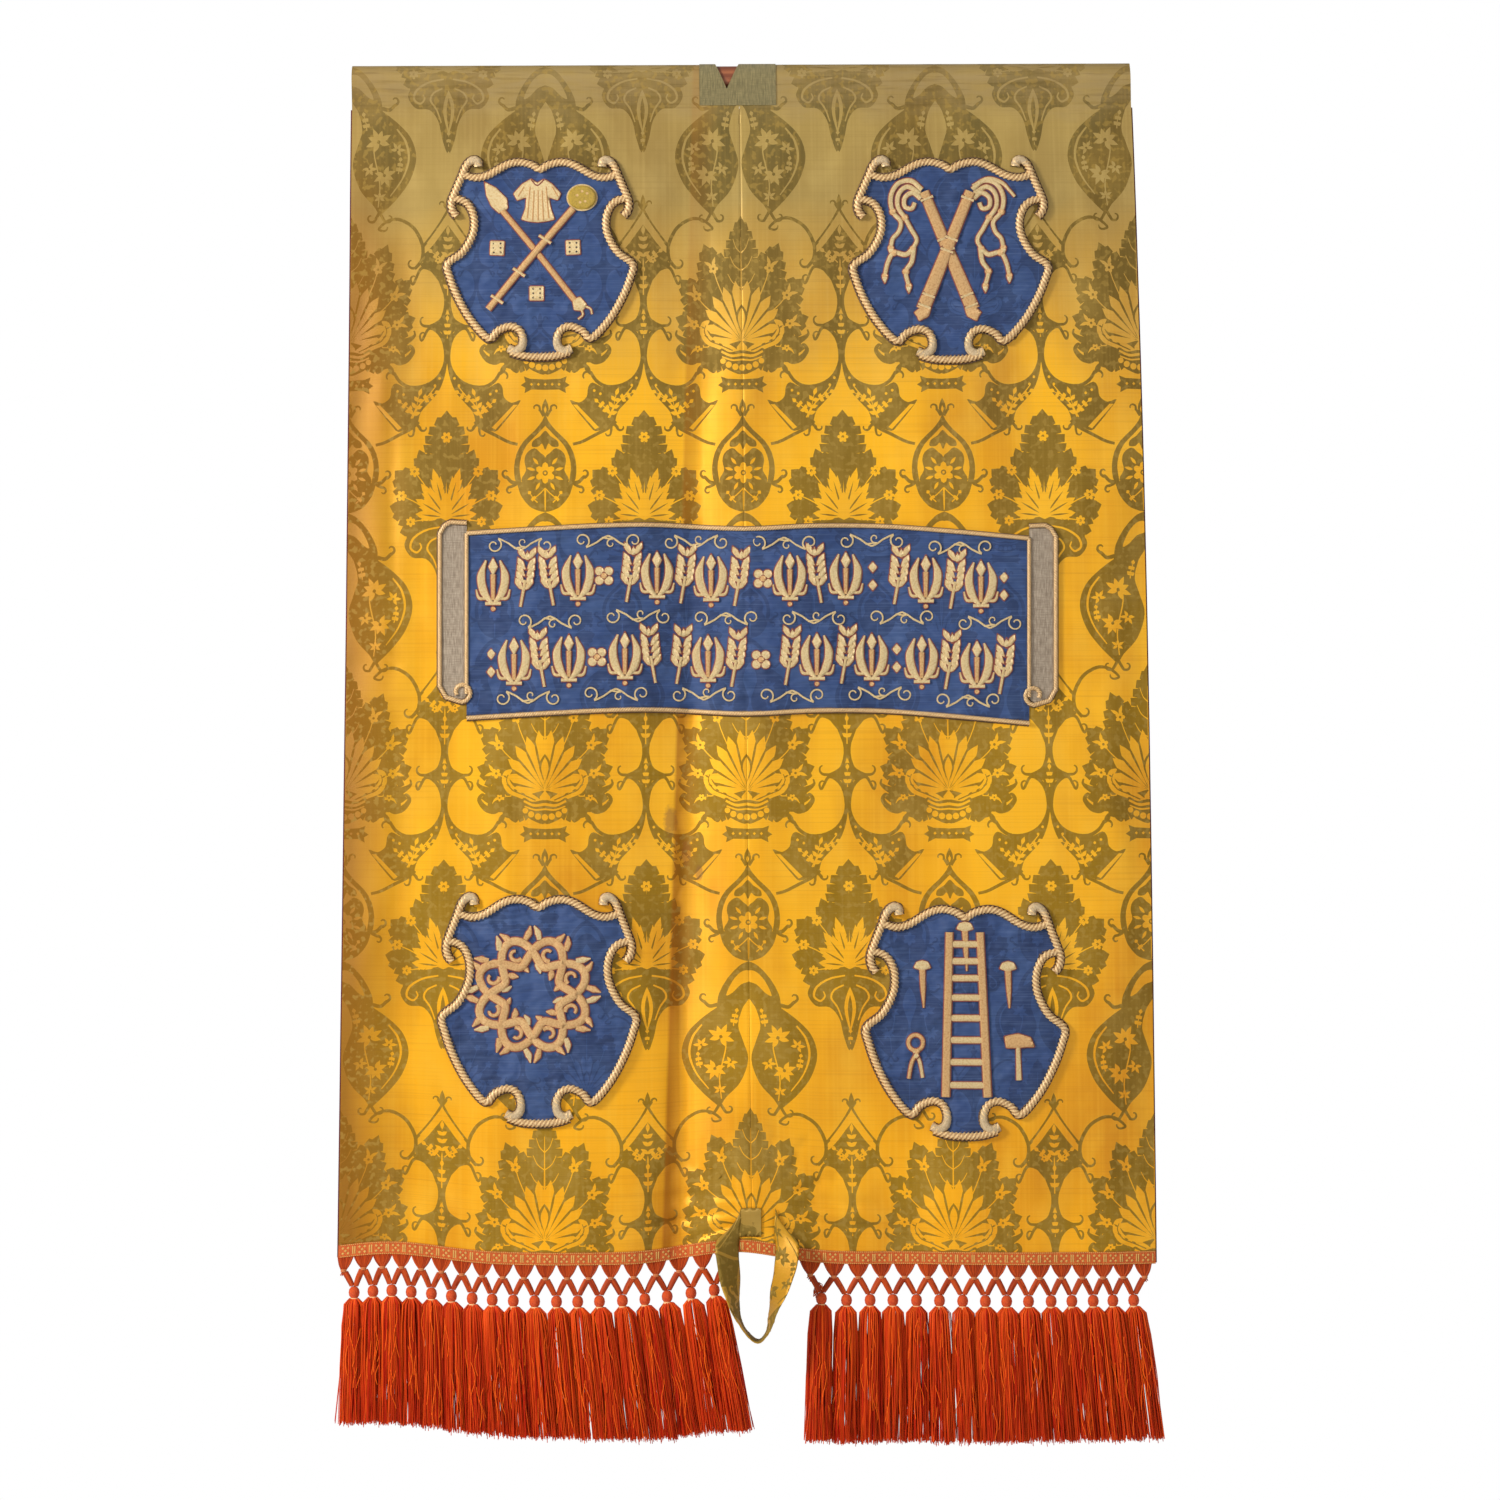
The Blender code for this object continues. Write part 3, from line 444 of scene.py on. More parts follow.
def stains_and_painted_shade(s, body, over_place, down):
    """Small worn places and stains, painted shade in the long fold left of the seam, and painted shade along
    the left border, fainter at the top.
    """
    for u, at, half_u, half_down in STAINS:
        over = s.maths("DIVIDE", s.maths("SUBTRACT", over_place, u), half_u)
        below = s.maths("DIVIDE", s.maths("SUBTRACT", down, at), half_down)
        far = s.maths("ADD", s.maths("MULTIPLY", over, over), s.maths("MULTIPLY", below, below))
        rough = s.maths("ADD", far, s.maths("MULTIPLY", s.noise(s.flat((160, 160, 1)), 1.0), 1.2))
        body = s.blend(s.ramp(rough, 0.9, 1.5, 0.55, 0.0), body, WORN)
    # Painted shade: a darker orange band right of the long fold's crisp edge, stronger further down
    line = s.maths("ADD", s.maths("MULTIPLY", down, FOLD_SHADE_SLOPE), FOLD_SHADE_TOP)
    beside = s.maths("SUBTRACT", over_place, line)
    shade = s.maths("MULTIPLY", s.ramp(beside, -0.001, 0.003), s.ramp(beside, 0.004, 0.034, 0.62, 0.0))
    shade = s.maths("MULTIPLY", shade, s.ramp(down, 0.15, 0.85, 0.3, 1.0))
    body = s.blend(shade, body, FOLD_SHADE)
    # Painted shade along the left border, fainter at the top
    uneven = s.maths("MULTIPLY", s.noise(s.flat((8, 5, 1)), 1.0), 0.03)
    border = s.ramp(s.maths("ADD", over_place, uneven), -0.49, -0.40, 0.88, 0.0)
    return s.blend(s.maths("MULTIPLY", border, s.ramp(down, 0.10, 0.30, 0.15, 1.0)), body, LEFT_BORDER_PAINTED_SHADE)


def blue_material(name, figure):
    """Worn blue silk with a cloudy colour, fine ribs and soft wrinkles."""
    s = Shader(name, 0.64 if figure else 0.52, 0.0, 0.15)
    base, cloud = (BLUE_FIGURE, BLUE_FIGURE_CLOUD) if figure else (BLUE, BLUE_CLOUD)
    cloudy = s.noise(s.flat((1, 1, 1)), 26.0, 3.0)
    body = s.blend(s.ramp(cloudy, 0.38, 0.75, 0.0, 0.5), base, cloud)
    weft = s.noise(s.flat((12, 700, 1)), 1.0, 2.0)
    body = s.blend(s.ramp(weft, 0.5, 0.8, 0.0, 0.35), body, BLUE_WEFT)
    s.dull(0.35)
    ribs = s.maths("MULTIPLY", s.wave(s.flat(), 420.0, "Y", 0.8, detail=1.0), 0.012)
    wrinkles = s.noise(s.flat((20, 50, 1), 0.35), 1.0, 2.0)
    s.bump(s.maths("ADD", ribs, wrinkles), 0.0160, 0.8)
    return s.colour(body)


def cloth_material(name, body, shade, scale, depth, roughness=0.85, ribs=0.0):
    """A plain weave with uneven threads."""
    s = Shader(name, roughness, 0.0, 0.1)
    threads = s.noise(s.flat((scale, scale * 0.12, 1)), 1.0, 2.0)
    colour = s.blend(s.ramp(threads, 0.35, 0.7), body, shade)
    weft = s.noise(s.flat((scale * 0.12, scale, 1)), 1.0, 2.0)
    colour = s.blend(s.ramp(weft, 0.45, 0.75, 0.0, 0.6), colour, shade)
    across_threads = s.wave(s.flat(), scale * 0.5, "X", 1.0, detail=1.0)
    down_threads = s.wave(s.flat(), ribs or scale * 0.5, "Y", 1.0, detail=1.0)
    across_threads = s.maths("MULTIPLY", across_threads, 0.2 if ribs else 1.0)
    s.bump(s.maths("ADD", across_threads, down_threads), depth, 0.8)
    return s.colour(colour)


def thread_material(name, dark, light, roughness, metallic, fine=0, depth=0.0, axis="X"):
    """Thread whose tone at each place says how light it is, with fine ridges across it."""
    s = Shader(name, roughness, metallic)
    colour = s.blend(s.tone(), dark, light)
    wear = s.noise(s.flat((1, 1, 1)), 420.0, 2.0)
    colour = s.blend(s.ramp(wear, 0.46, 0.66, 0.0, 0.55), colour, dark)
    if fine:
        s.bump(s.wave(s.flat(), fine, axis, 0.4), depth, 0.7)
    return s.colour(colour)


def fibre_material(name, dark, light, roughness):
    s = Shader(name, roughness)
    s.dull(0.2)
    return s.colour(s.blend(s.tone(), dark, light))


CLOTHS = (
    # key, name, body and shaded colours, threads to the metre, depth, roughness, ribs to the metre
    ("lining", "maroon_cloth", (112, 20, 42), (78, 12, 30), 900.0, 0.0002),
    ("canvas", "khaki_canvas", (156, 142, 96), (122, 112, 74), 620.0, 0.0004),
    ("taupe", "taupe_cloth", (176, 160, 140), (132, 116, 98), 700.0, 0.0005, 0.8, 150.0),
    ("braid", "orange_braid", (236, 112, 30), (198, 80, 14), 800.0, 0.0004, 0.7),
)
THREADS = (
    # key, name, dark and light colours, roughness, metallic, ridges to the metre, their depth and direction
    ("cord", "gold_cord", (140, 88, 46), (252, 218, 158), 0.45, 0.1),
    ("bead", "dark_bead", (52, 36, 28), (128, 94, 66), 0.6, 0.0),
    ("silver", "pale_padding", (184, 150, 106), (238, 216, 176), 0.6, 0.0, 1500.0, 0.0003),
    ("copper", "copper_thread", (204, 136, 76), (255, 220, 158), 0.42, 0.2, 1300.0, 0.0004),
    ("pale_gold", "pale_gold_thread", (218, 172, 102), (255, 240, 192), 0.42, 0.2, 1300.0, 0.0004),
    ("olive", "olive_thread", (150, 118, 36), (226, 190, 70), 0.6, 0.0, 800.0, 0.0004),
    ("couching", "red_brown_thread", (104, 46, 36), (150, 78, 58), 0.7, 0.0),
    ("pip", "dark_thread", (44, 28, 24), (70, 46, 38), 0.7, 0.0),
    ("ball", "silk_ball", (186, 36, 0), (246, 104, 18), 0.6, 0.0, 700.0, 0.0003, "Y"),
    ("braid_light", "braid_yellow", (214, 158, 70), (240, 198, 112), 0.6, 0.0, 900.0, 0.0003),
)
FIBRES = (
    # key, name, dark and light colours, roughness
    ("tassel", "orange_silk", (198, 20, 0), (255, 108, 18), 0.55),
    ("tie", "pale_tie", (186, 92, 44), (250, 208, 150), 0.5),
    ("net", "net_yarn", (132, 34, 2), (206, 82, 22), 0.5),
)


def make_materials():
    m = {}
    m["ground"] = damask_material("gold_satin", False)
    m["figure"] = damask_material("woven_figure", True)
    m["strap"] = damask_material("strap_satin", False, True)
    m["strap_figure"] = damask_material("strap_figure", True, True)
    m["blue"] = blue_material("blue_satin", False)
    m["blue_figure"] = blue_material("blue_figure", True)
    for kind, table in ((cloth_material, CLOTHS), (thread_material, THREADS), (fibre_material, FIBRES)):
        for key, name, first, second, *looks in table:
            m[key] = kind(name, rgb(*first), rgb(*second), *looks)
    m["wood"] = wood_material()
    return m


def wood_material():
    s = Shader("brown_wood", 0.42)
    spot = s.node("ShaderNodeTexCoord").outputs["Object"]
    mapping = s.node("ShaderNodeMapping")
    mapping.inputs["Scale"].default_value = (4.0, 60.0, 60.0)
    s.join(spot, mapping.inputs[0])
    grain = s.noise(mapping.outputs[0], 3.0, 4.0)
    return s.colour(s.blend(s.ramp(grain, 0.35, 0.7), rgb(112, 56, 34), rgb(160, 96, 62)))


# Woven figure: one unit is REPEAT_WIDTH wide and REPEAT_DROP deep, in millimetres, mirrored at its middle

REPEAT_WIDTH = 257.5
REPEAT_DROP = 562.5
SIDE = REPEAT_WIDTH / 2


def catmull(points, steps=5, closed=False):
    """A smooth line through these points."""
    pts = [np.array(p, float) for p in points]
    if closed:
        pts = [pts[-1], *pts, pts[0], pts[1]]
    else:
        pts = [2 * pts[0] - pts[1], *pts, 2 * pts[-1] - pts[-2]]
    line = []
    for a, b, c, d in zip(pts, pts[1:], pts[2:], pts[3:]):
        for n in range(steps):
            t = n / steps
            line.append(0.5 * (2 * b + (c - a) * t + (2 * a - 5 * b + 4 * c - d) * t * t
                               + (3 * b - 3 * c + d - a) * t ** 3))
    if not closed:
        line.append(pts[-2])
    return line


def band(line, widths):
    """Outline of a line drawn with a width that changes along it."""
    line = [np.array(p, float) for p in line]
    count = len(line)
    left, right = [], []
    for n, point in enumerate(line):
        before, after = line[max(n - 1, 0)], line[min(n + 1, count - 1)]
        along = (after - before) / (np.linalg.norm(after - before) + 1e-9)
        side = np.array([-along[1], along[0]])
        half = np.interp(n / (count - 1), np.linspace(0, 1, len(widths)), widths) / 2
        left.append(point + side * half)
        right.append(point - side * half)
    return left + right[::-1]


def curl(x, y, radius, start, turn, steps=7, shrink=0.55):
    """A short spiral that winds in from this start angle, in degrees."""
    line = []
    for n in range(steps + 1):
        share = n / steps
        angle = math.radians(start + turn * share)
        r = radius * (1 - shrink * share)
        line.append((x + r * math.cos(angle), y + r * math.sin(angle)))
    return line


def turned(points, x, y, angle, size=1.0, flip=1):
    """Points about the origin, scaled, turned clockwise from straight up, and moved to x, y."""
    c, s = math.cos(math.radians(angle)), math.sin(math.radians(angle))
    return [(x + size * (flip * px * c - py * s), y + size * (flip * px * s + py * c)) for px, py in points]


def leaf(length, width, teeth=0, depth=0.3, fullest=0.45, steps=9):
    """A leaf that stands up from the origin (to minus y), with a toothed edge where it has teeth."""
    power = math.log(0.5) / math.log(fullest)

    def half(share):
        return width / 2 * math.sin(math.pi * min(max(share, 0.03), 1.0) ** power)

    side = []
    for n in range(teeth):
        low, high = n / teeth, (n + 1) / teeth
        side.append((half(low) * (1 - depth), -length * (low + 0.02)))
        side.append((half(mix(low, high, 0.5)) * 0.98, -length * mix(low, high, 0.40)))
        if n < teeth - 1:
            side.append((half(high) * 1.05, -length * mix(low, high, 1.25)))
    if not teeth:
        side = [(half(n / steps), -length * n / steps) for n in range(steps)]
    return side + [(0, -length)] + [(-x, y) for x, y in side[::-1]]


def flower(radius, petals=5, steps=4):
    """Outline of a simple flower with round petals."""
    line = []
    for n in range(petals * steps):
        angle = 2 * math.pi * n / (petals * steps)
        r = radius * (0.62 + 0.38 * abs(math.sin(petals * angle / 2)))
        line.append((r * math.sin(angle), -r * math.cos(angle)))
    return line


def disc(radius, steps=8):
    turns = [2 * math.pi * n / steps for n in range(steps)]
    return [(radius * math.sin(turn), -radius * math.cos(turn)) for turn in turns]


class Figure:
    """Shapes of a woven figure in the order in which they are laid: 1 is the figure, 0 the ground."""

    def __init__(self):
        self.shapes = []

    def add(self, value, outline):
        self.shapes.append((value, [(float(x), float(y)) for x, y in outline]))

    def line(self, value, points, widths, steps=5):
        self.add(value, band(catmull(points, steps), widths))

    def blossom(self, x, y, radius, petals=5, spin=0.0):
        self.add(0, turned(flower(radius, petals), x, y, spin))
        self.add(1, turned(disc(radius * 0.26, 6), x, y, 0))

    def lily(self, x, y, size, angle, petals):
        """A flower of pointed petals that fan out from one side."""
        for n in range(petals):
            turn = angle + (n - (petals - 1) / 2) * 300 / petals
            self.add(0, turned(leaf(size * (0.72 if n % 2 else 0.6), size * 0.27, steps=5), x, y, turn))
        self.add(1, turned(disc(size * 0.10, 6), x, y, 0))

    def sprig(self, x, y, angle, length, leaves):
        """A stem with paired leaves."""
        top = turned([(0, 0), (length * 0.06, -length * 0.5), (0, -length)], x, y, angle)
        self.line(0, top, (1.6, 1.2, 0.8), steps=3)
        self.add(0, turned(leaf(length * 0.34, 5.0, steps=5), *top[2], angle))
        for n in range(leaves):
            share = (n + 0.6) / (leaves + 0.4)
            px, py = turned([(length * 0.05 * math.sin(math.pi * share), -length * share)], x, y, angle)[0]
            for side in (-1, 1):
                outline = leaf(length * 0.34 * (1.1 - 0.4 * share), 5.2, steps=5)
                self.add(0, turned(outline, px, py, angle + side * 55))


def great_palmette(fig):
    """The large toothed palmette on the unit's middle line, with its gold fan and its bowl."""
    root = (0.0, 38.0)
    # angle, length, width, teeth, distance of the flower from the root, size of the flower
    leaves = (
        (122, 62, 36, 8, 0, 0), (97, 82, 44, 9, 56, 6.2), (71, 92, 46, 10, 66, 6.6),
        (46, 112, 50, 11, 82, 7.0),
        (22, 132, 50, 12, 98, 6.8), (0, 157, 46, 14, 0, 0),
    )
    for angle, length, width, teeth, _, _ in leaves:
        fig.add(1, turned(leaf(length, width, teeth, 0.38, 0.62), *root, angle))
    for angle, length, width, teeth, out, size in leaves:
        if out:
            x, y = turned([(0, -out)], *root, angle)[0]
            fig.line(0, turned([(0, -44), (1.5, -out * 0.8), (0, -out)], *root, angle), (1.4, 1.2))
            fig.blossom(x, y, size, spin=angle)
            foot = turned([(0, -out - 3)], *root, angle)[0]
            for side in (-1, 1):
                fig.add(0, turned(leaf(13, 4.2, steps=5), *foot, angle + side * 38))
    fig.line(0, [(0, -12), (0, -52), (0, -92)], (2.2, 1.6, 0.8))
    for y, reach in ((-28, 22), (-50, 18), (-72, 13)):
        fig.line(0, [(0, y), (reach * 0.5, y - 7), (reach * 0.8, y - 18)], (1.4, 0.8), steps=3)
    # The gold fan in two tiers
    for angle, length in ((88, 42), (68, 52), (50, 62), (34, 68), (19, 72), (6, 76)):
        fig.add(0, turned(leaf(length, 15, fullest=0.66), *root, angle))
    for angle, length in ((78, 40), (58, 46), (41, 52), (26, 56), (12, 60)):
        foot = turned([(0, -12)], *root, angle)[0]
        fig.add(1, turned(leaf(length, 3.0, fullest=0.6, steps=5), *foot, angle))
    fig.add(1, turned(leaf(38, 15, fullest=0.6), 0, 30, 0))
    fig.add(0, turned(leaf(33, 9.5, fullest=0.6), 0, 29, 0))
    # Horns of the bowl, one each side
    fig.add(0, catmull([(6, 50), (20, 40), (38, 34), (46, 22), (42, 12), (52, 14), (55, 27), (47, 41),
                        (30, 48), (16, 54)], 4, closed=True))
    fig.line(1, [(12, 50), (28, 43), (42, 37), (49, 26), (47, 18)], (1.6, 1.4, 1.0))
    for x, y in ((48, 22), (44, 33), (35, 39), (25, 43.5)):
        fig.add(1, turned(leaf(6.5, 2.2, steps=4), x, y, 60))
    # Bowl
    fig.add(1, catmull([(0, 50), (16, 52), (27, 47), (31, 56), (26, 68), (14, 76), (0, 79), (-3, 60)], 4,
                       closed=True))
    fig.line(0, [(0, 55), (14, 56.5), (27, 51)], (3.4, 3.4, 2.6))
    fig.line(0, [(0, 61.2), (13, 62), (26, 57.5)], (2.2, 2.2, 1.6))
    for x, y, size in ((25, 63.0, 3.7), (17.5, 67.6, 4.1), (8.8, 70.4, 4.2), (0, 71.4, 4.2)):
        fig.add(0, turned(disc(size, 9), x, y, 0))
    # Side hooks under the palmette
    fig.line(1, [(34, 54), (46, 60), (58, 56), (66, 62), (76, 60), (84, 50), (80, 43), (75, 47)],
             (6, 15, 14, 9, 6, 4, 2.4))
    fig.line(1, [(52, 38), (66, 40), (78, 36), (86, 30), (85, 24)], (16, 12, 7, 3.4, 2))
    fig.add(1, catmull([(30, 58), (40, 56), (47, 62), (46, 72), (38, 78), (34, 74), (38, 68)], 4,
                       closed=True))
    fig.blossom(58, 47, 4.6)
    # Ribbon
    fig.add(1, [(0, 86), (20, 85), (28, 82), (26, 89), (32, 93), (26, 96.5), (27, 103), (18, 98.5), (0, 99)])
    for x in (0, 9, 18):
        fig.add(0, turned([(-2, 0), (0, -2), (2, 0), (0, 2)], x, 92, 0))


def lobe_arcs(fig):
    """The dark C-lines round the plain gold lobes, each with hooked ends."""
    fig.line(1, [*curl(45, -107, 8, 160, -150, 4)[::-1], (50, -114), (66, -115), (84, -104), (95, -84),
                 (95, -66), (87, -55), *curl(82, -61, 7.5, 60, 190, 5)],
             (1.6, 2.6, 3.2, 4.2, 4.6, 4.2, 3.2, 2.4, 1.6))
    fig.line(1, [*curl(85, -41, 6.5, 100, 190, 4)[::-1], (93, -53), (104, -53.5), (117, -44), (124.5, -26),
                 (126.5, -8), (121, 10), (108, 18), *curl(99, 10.5, 8.5, 70, 170, 5)],
             (1.6, 2.6, 3.4, 4.4, 4.6, 4.2, 3.4, 2.4, 1.6))
    fig.line(1, [*curl(98, 30, 6.5, 110, 180, 4)[::-1], (104, 22), (114, 24), (123.5, 36), (127.2, 56),
                 (124, 72), (114, 86), (98, 94), (80, 95), (67, 88), (60, 78),
                 *curl(54, 83, 8, -40, -170, 5)],
             (1.6, 2.4, 3.2, 4.4, 5.0, 5.4, 4.6, 4.0, 3.4, 2.6, 1.6))
    fig.add(1, turned(leaf(17, 7), 59, 80, -28))
    # Cusps that join neighbouring lobes
    fig.add(1, catmull([(93, -57), (98, -62), (104, -56), (116, -48), (108, -50)], 3, closed=True))
    fig.add(1, catmull([(120, 12), (128.8, 4), (128.8, 34), (121, 26), (108, 20)], 3, closed=True))


def trellis(fig):
    """The dark field with gold leaves where two lobes' lines meet, above motif B's axis line."""
    middle = SIDE
    fig.line(1, [(middle, -128), (middle - 9, -112), (middle - 22, -94), (middle - 34, -80)],
             (3.0, 3.6, 3.8, 3.8))
    fig.add(1, [(middle, -108), (middle - 8, -98), (middle - 17, -86), (middle - 26, -76), (middle - 34, -70),
                (middle - 32, -60), (middle - 22, -50), (middle - 12, -38), (middle - 5, -20), (middle, 0)])
    fig.line(0, [(middle - 2, -119), (middle - 13, -103), (middle - 27, -85)], (2.2, 2.6, 2.2))
    fig.sprig(middle, -62, 0, 34, 3)
    fig.sprig(middle - 3, -60, -52, 22, 2)
    fig.sprig(middle, -22, 0, 26, 2)
    fig.blossom(middle - 13, -64, 4.4)
    fig.line(0, [(middle, -20), (middle, -40), (middle, -62)], (1.6, 1.6))
    fig.add(1, turned(leaf(20, 7), middle, -126, 0))
    fig.line(1, [(middle, -126), (middle - 5, -133), *curl(middle - 9, -134, 4.6, 10, -200, 4)],
             (3.4, 2.6, 1.4))
    # The leafy band below, between the middle and lower lobes
    fig.add(1, [(middle, 6), (middle - 4, 14), (middle - 12, 19.5), (middle - 18, 22), (middle - 8, 26),
                (middle - 3, 40), (middle, 52)])
    fig.sprig(middle, 34, 0, 22, 2)


def horn(fig):
    """The dark horn below the lower lobe, filled with a gold sprig, and the stem to the medallion."""
    fig.add(1, catmull([(128.5, 62), (126, 80), (118, 100), (106, 114), (95, 126), (90, 141), (82, 145),
                        (66, 151), (56, 142), (44, 128), (32, 112), (44, 115), (54, 108), (56, 96),
                        (62, 90), (76, 96), (95, 95), (112, 87), (123, 74)], 3, closed=True))
    fig.add(0, [(36, 117.5), (41.5, 117.5), (70, 146), (65, 148.5)])
    fig.sprig(82, 134, 20, 30, 3)
    fig.sprig(84, 128, -48, 20, 2)
    fig.sprig(95, 112, 62, 20, 2)
    for x, y in ((119, 84), (113, 93), (64, 100), (72, 104)):
        fig.add(0, turned(disc(1.9, 6), x, y, 0))
    fig.line(0, [(84, 134), (92, 118), (104, 106), (114, 94)], (1.4, 1.8, 1.2))
    fig.line(1, [(92, 138), (82, 147), (66, 155), (48, 164), (36, 167)], (5.0, 4.2, 4.0, 3.6))
    fig.line(1, [(88, 140), (94, 146), *curl(99, 145, 6, 170, -180, 4)], (4.0, 3.0, 1.6))
    fig.line(1, [(86, 142), (86, 150), *curl(81, 153, 5, -20, 190, 4)], (3.6, 2.6, 1.6))


def medallion(fig):
    """The small ogee with a flower in it, on the middle line."""
    outer = [(0, 128), (4, 138), (14, 150), (28, 163), (37, 178), (40.5, 195), (39.5, 210), (36, 218)]
    fig.add(1, catmull(outer, 4) + catmull([(36, 218), (31, 232), (20, 245), (8, 250.5), (0, 252)], 4)[1:]
            + [(-4, 252), (-4, 128)])
    inner = [(0, 144), (12, 156), (24, 168), (31, 182), (33.5, 197), (31, 214)]
    fig.add(0, catmull(inner, 4) + [(18, 222), (0, 226)] + [(-4, 226), (-4, 144)])
    # Leaves and flower inside
    fig.add(1, catmull([(0, 150), (7, 157), (16, 163), (17, 170), (9, 170), (4, 166), (0, 174), (-3, 160)],
                       3, closed=True))
    fig.add(1, catmull([(6, 178), (14, 172), (24, 178), (27, 188), (25, 200), (31, 212), (22, 222), (0, 226),
                        (-4, 205), (0, 184)], 3, closed=True))
    fig.add(0, turned(flower(13.5, 6), 0, 203, 30))
    fig.add(1, turned(disc(3.6, 8), 0, 203, 0))
    fig.add(0, turned(disc(1.8, 6), 0, 203, 0))
    for angle in (40, 75, 110, 150):
        fig.add(0, turned(leaf(11, 4, steps=4), *turned([(0, -14)], 0, 203, angle)[0], angle))
    fig.line(0, [(14, 234), (8, 230), (0, 222)], (1.2, 1.4), steps=3)
    fig.sprig(10, 240, 40, 14, 1)
    fig.line(0, [(0, 222), (0, 240), (0, 250)], (2.4, 2.0, 1.0))
    # Finial and side curls
    fig.add(1, turned(leaf(22, 9), 0, 132, 0))
    fig.add(0, turned(leaf(9, 3.4, steps=5), 0, 128, 0))
    fig.line(1, [(2, 132), (7, 124), *curl(12, 122, 5.6, 150, 230, 4)], (3.4, 2.8, 1.4))
    fig.line(1, [(36, 216), (44, 214), (50, 208), *curl(51, 203, 5.6, 80, -220, 4)], (5.0, 3.4, 1.6))
    fig.line(1, [(38, 217), (44, 220), *curl(46, 225, 4.6, -70, 220, 4)], (4.0, 2.8, 1.4))


def bulb(fig):
    """The inverted ogee under the medallion, with flowers, which ends in curls over the palmette."""
    top = 252.0
    fig.add(1, catmull([(0, top), (12, top + 6), (27, top + 22), (38, top + 42), (41, top + 60)], 4)
            + catmull([(41, top + 60), (58, top + 72), (78, top + 92), (86, top + 118), (78, top + 146),
                       (62, top + 168), (46, top + 184), (38, top + 189), (30, top + 178), (12, top + 158),
                       (2, top + 128), (8, top + 104), (14, top + 84), (9, top + 62), (0, top + 48)], 4)[1:]
            + [(-3, top + 48), (-3, top)])
    fig.add(0, catmull([(0, top + 12), (10, top + 14), (21, top + 26), (29, top + 44), (20, top + 40),
                        (10, top + 30), (0, top + 26), (-3, top + 20)], 3, closed=True))
    fig.line(1, [(40, top + 56), (50, top + 58), (57, top + 52), *curl(57, top + 46, 6, 80, -230, 4)],
             (5, 3.6, 1.6))
    fig.line(0, [(60, top + 82), (72, top + 98), (76, top + 120), (68, top + 144), (52, top + 166)],
             (2.0, 3.2, 2.4, 1.4))
    fig.lily(36, top + 98, 25, -25, 7)
    fig.lily(44, top + 140, 22, 155, 7)
    fig.lily(24, top + 132, 15, 150, 5)
    fig.lily(61, top + 108, 15, 30, 5)
    fig.lily(38, top + 168, 13, 0, 5)
    fig.sprig(20, top + 84, -12, 18, 2)
    fig.sprig(62, top + 138, 10, 16, 2)
    fig.line(0, [(36, top + 180), (38, top + 150), (30, top + 112), (34, top + 96)], (1.4, 1.8, 1.4))
    fig.line(1, [(38, top + 186), (32, top + 196), *curl(27, top + 193, 6, 60, 210, 4)], (4, 3, 1.6))
    fig.line(1, [(38, top + 186), (44, top + 196), *curl(50, top + 193, 6, 120, -210, 4)], (4, 3, 1.6))


def side_cluster(fig):
    """The three-lobed toothed cluster with small flowers, on the unit's side line."""
    middle, root = SIDE, 262.0
    # angle, length, width, teeth
    for angle, length, width, teeth in ((-104, 62, 34, 7), (-76, 76, 42, 8), (-47, 92, 48, 10),
                                        (-22, 96, 38, 9),
                                        (0, 138, 58, 12)):
        fig.add(1, turned(leaf(length, width, teeth, 0.38, 0.66), middle, root, angle))
    for angle, out, size in ((-92, 46, 6.6), (-62, 66, 7.2), (-34, 74, 7.2), (0, 104, 7.4)):
        x, y = turned([(0, -out)], middle, root, angle)[0]
        fig.blossom(x, y, size, 6, spin=angle)
        fig.line(0, turned([(0, -30), (1.5, -out * 0.7), (0, -out)], middle, root, angle), (1.8, 1.2))
    # Inner gold leaves
    for angle, length in ((-84, 40), (-60, 46), (-38, 54), (-16, 64)):
        fig.add(0, turned(leaf(length, 15, 4, 0.3, 0.62), middle, root - 4, angle))
        foot = turned([(0, -8)], middle, root - 4, angle)[0]
        fig.add(1, turned(leaf(length * 0.6, 2.2, steps=4), *foot, angle))
    fig.add(0, turned(leaf(46, 16, fullest=0.6), middle, root + 10, 0))
    # Volutes and foot
    fig.add(1, catmull([(middle, 262), (middle - 26, 266), (middle - 44, 276), (middle - 54, 292),
                        (middle - 44, 308), (middle - 26, 310), (middle - 14, 324), (middle - 8, 348),
                        (middle, 362), (middle + 4, 300)], 4, closed=True))
    fig.line(0, [(middle - 6, 270), (middle - 26, 274), (middle - 42, 284), (middle - 46, 296),
                 (middle - 38, 302), (middle - 32, 296), (middle - 34, 290)], (2.0, 3.0, 2.6, 1.6))
    fig.line(0, [(middle - 8, 282), (middle - 20, 288), (middle - 24, 298), (middle - 16, 310),
                 (middle - 10, 326)],
             (2.0, 2.6, 1.6))
    fig.add(0, turned(leaf(58, 15, fullest=0.55), middle, 342, 0))
    fig.add(1, turned(leaf(40, 6, fullest=0.55), middle, 334, 0))
    fig.sprig(middle, 356, 0, 14, 1)


def damask_figure():
    fig = Figure()
    lobe_arcs(fig)
    trellis(fig)
    horn(fig)
    bulb(fig)
    medallion(fig)
    side_cluster(fig)
    great_palmette(fig)
    return fig.shapes


# Mesh helpers


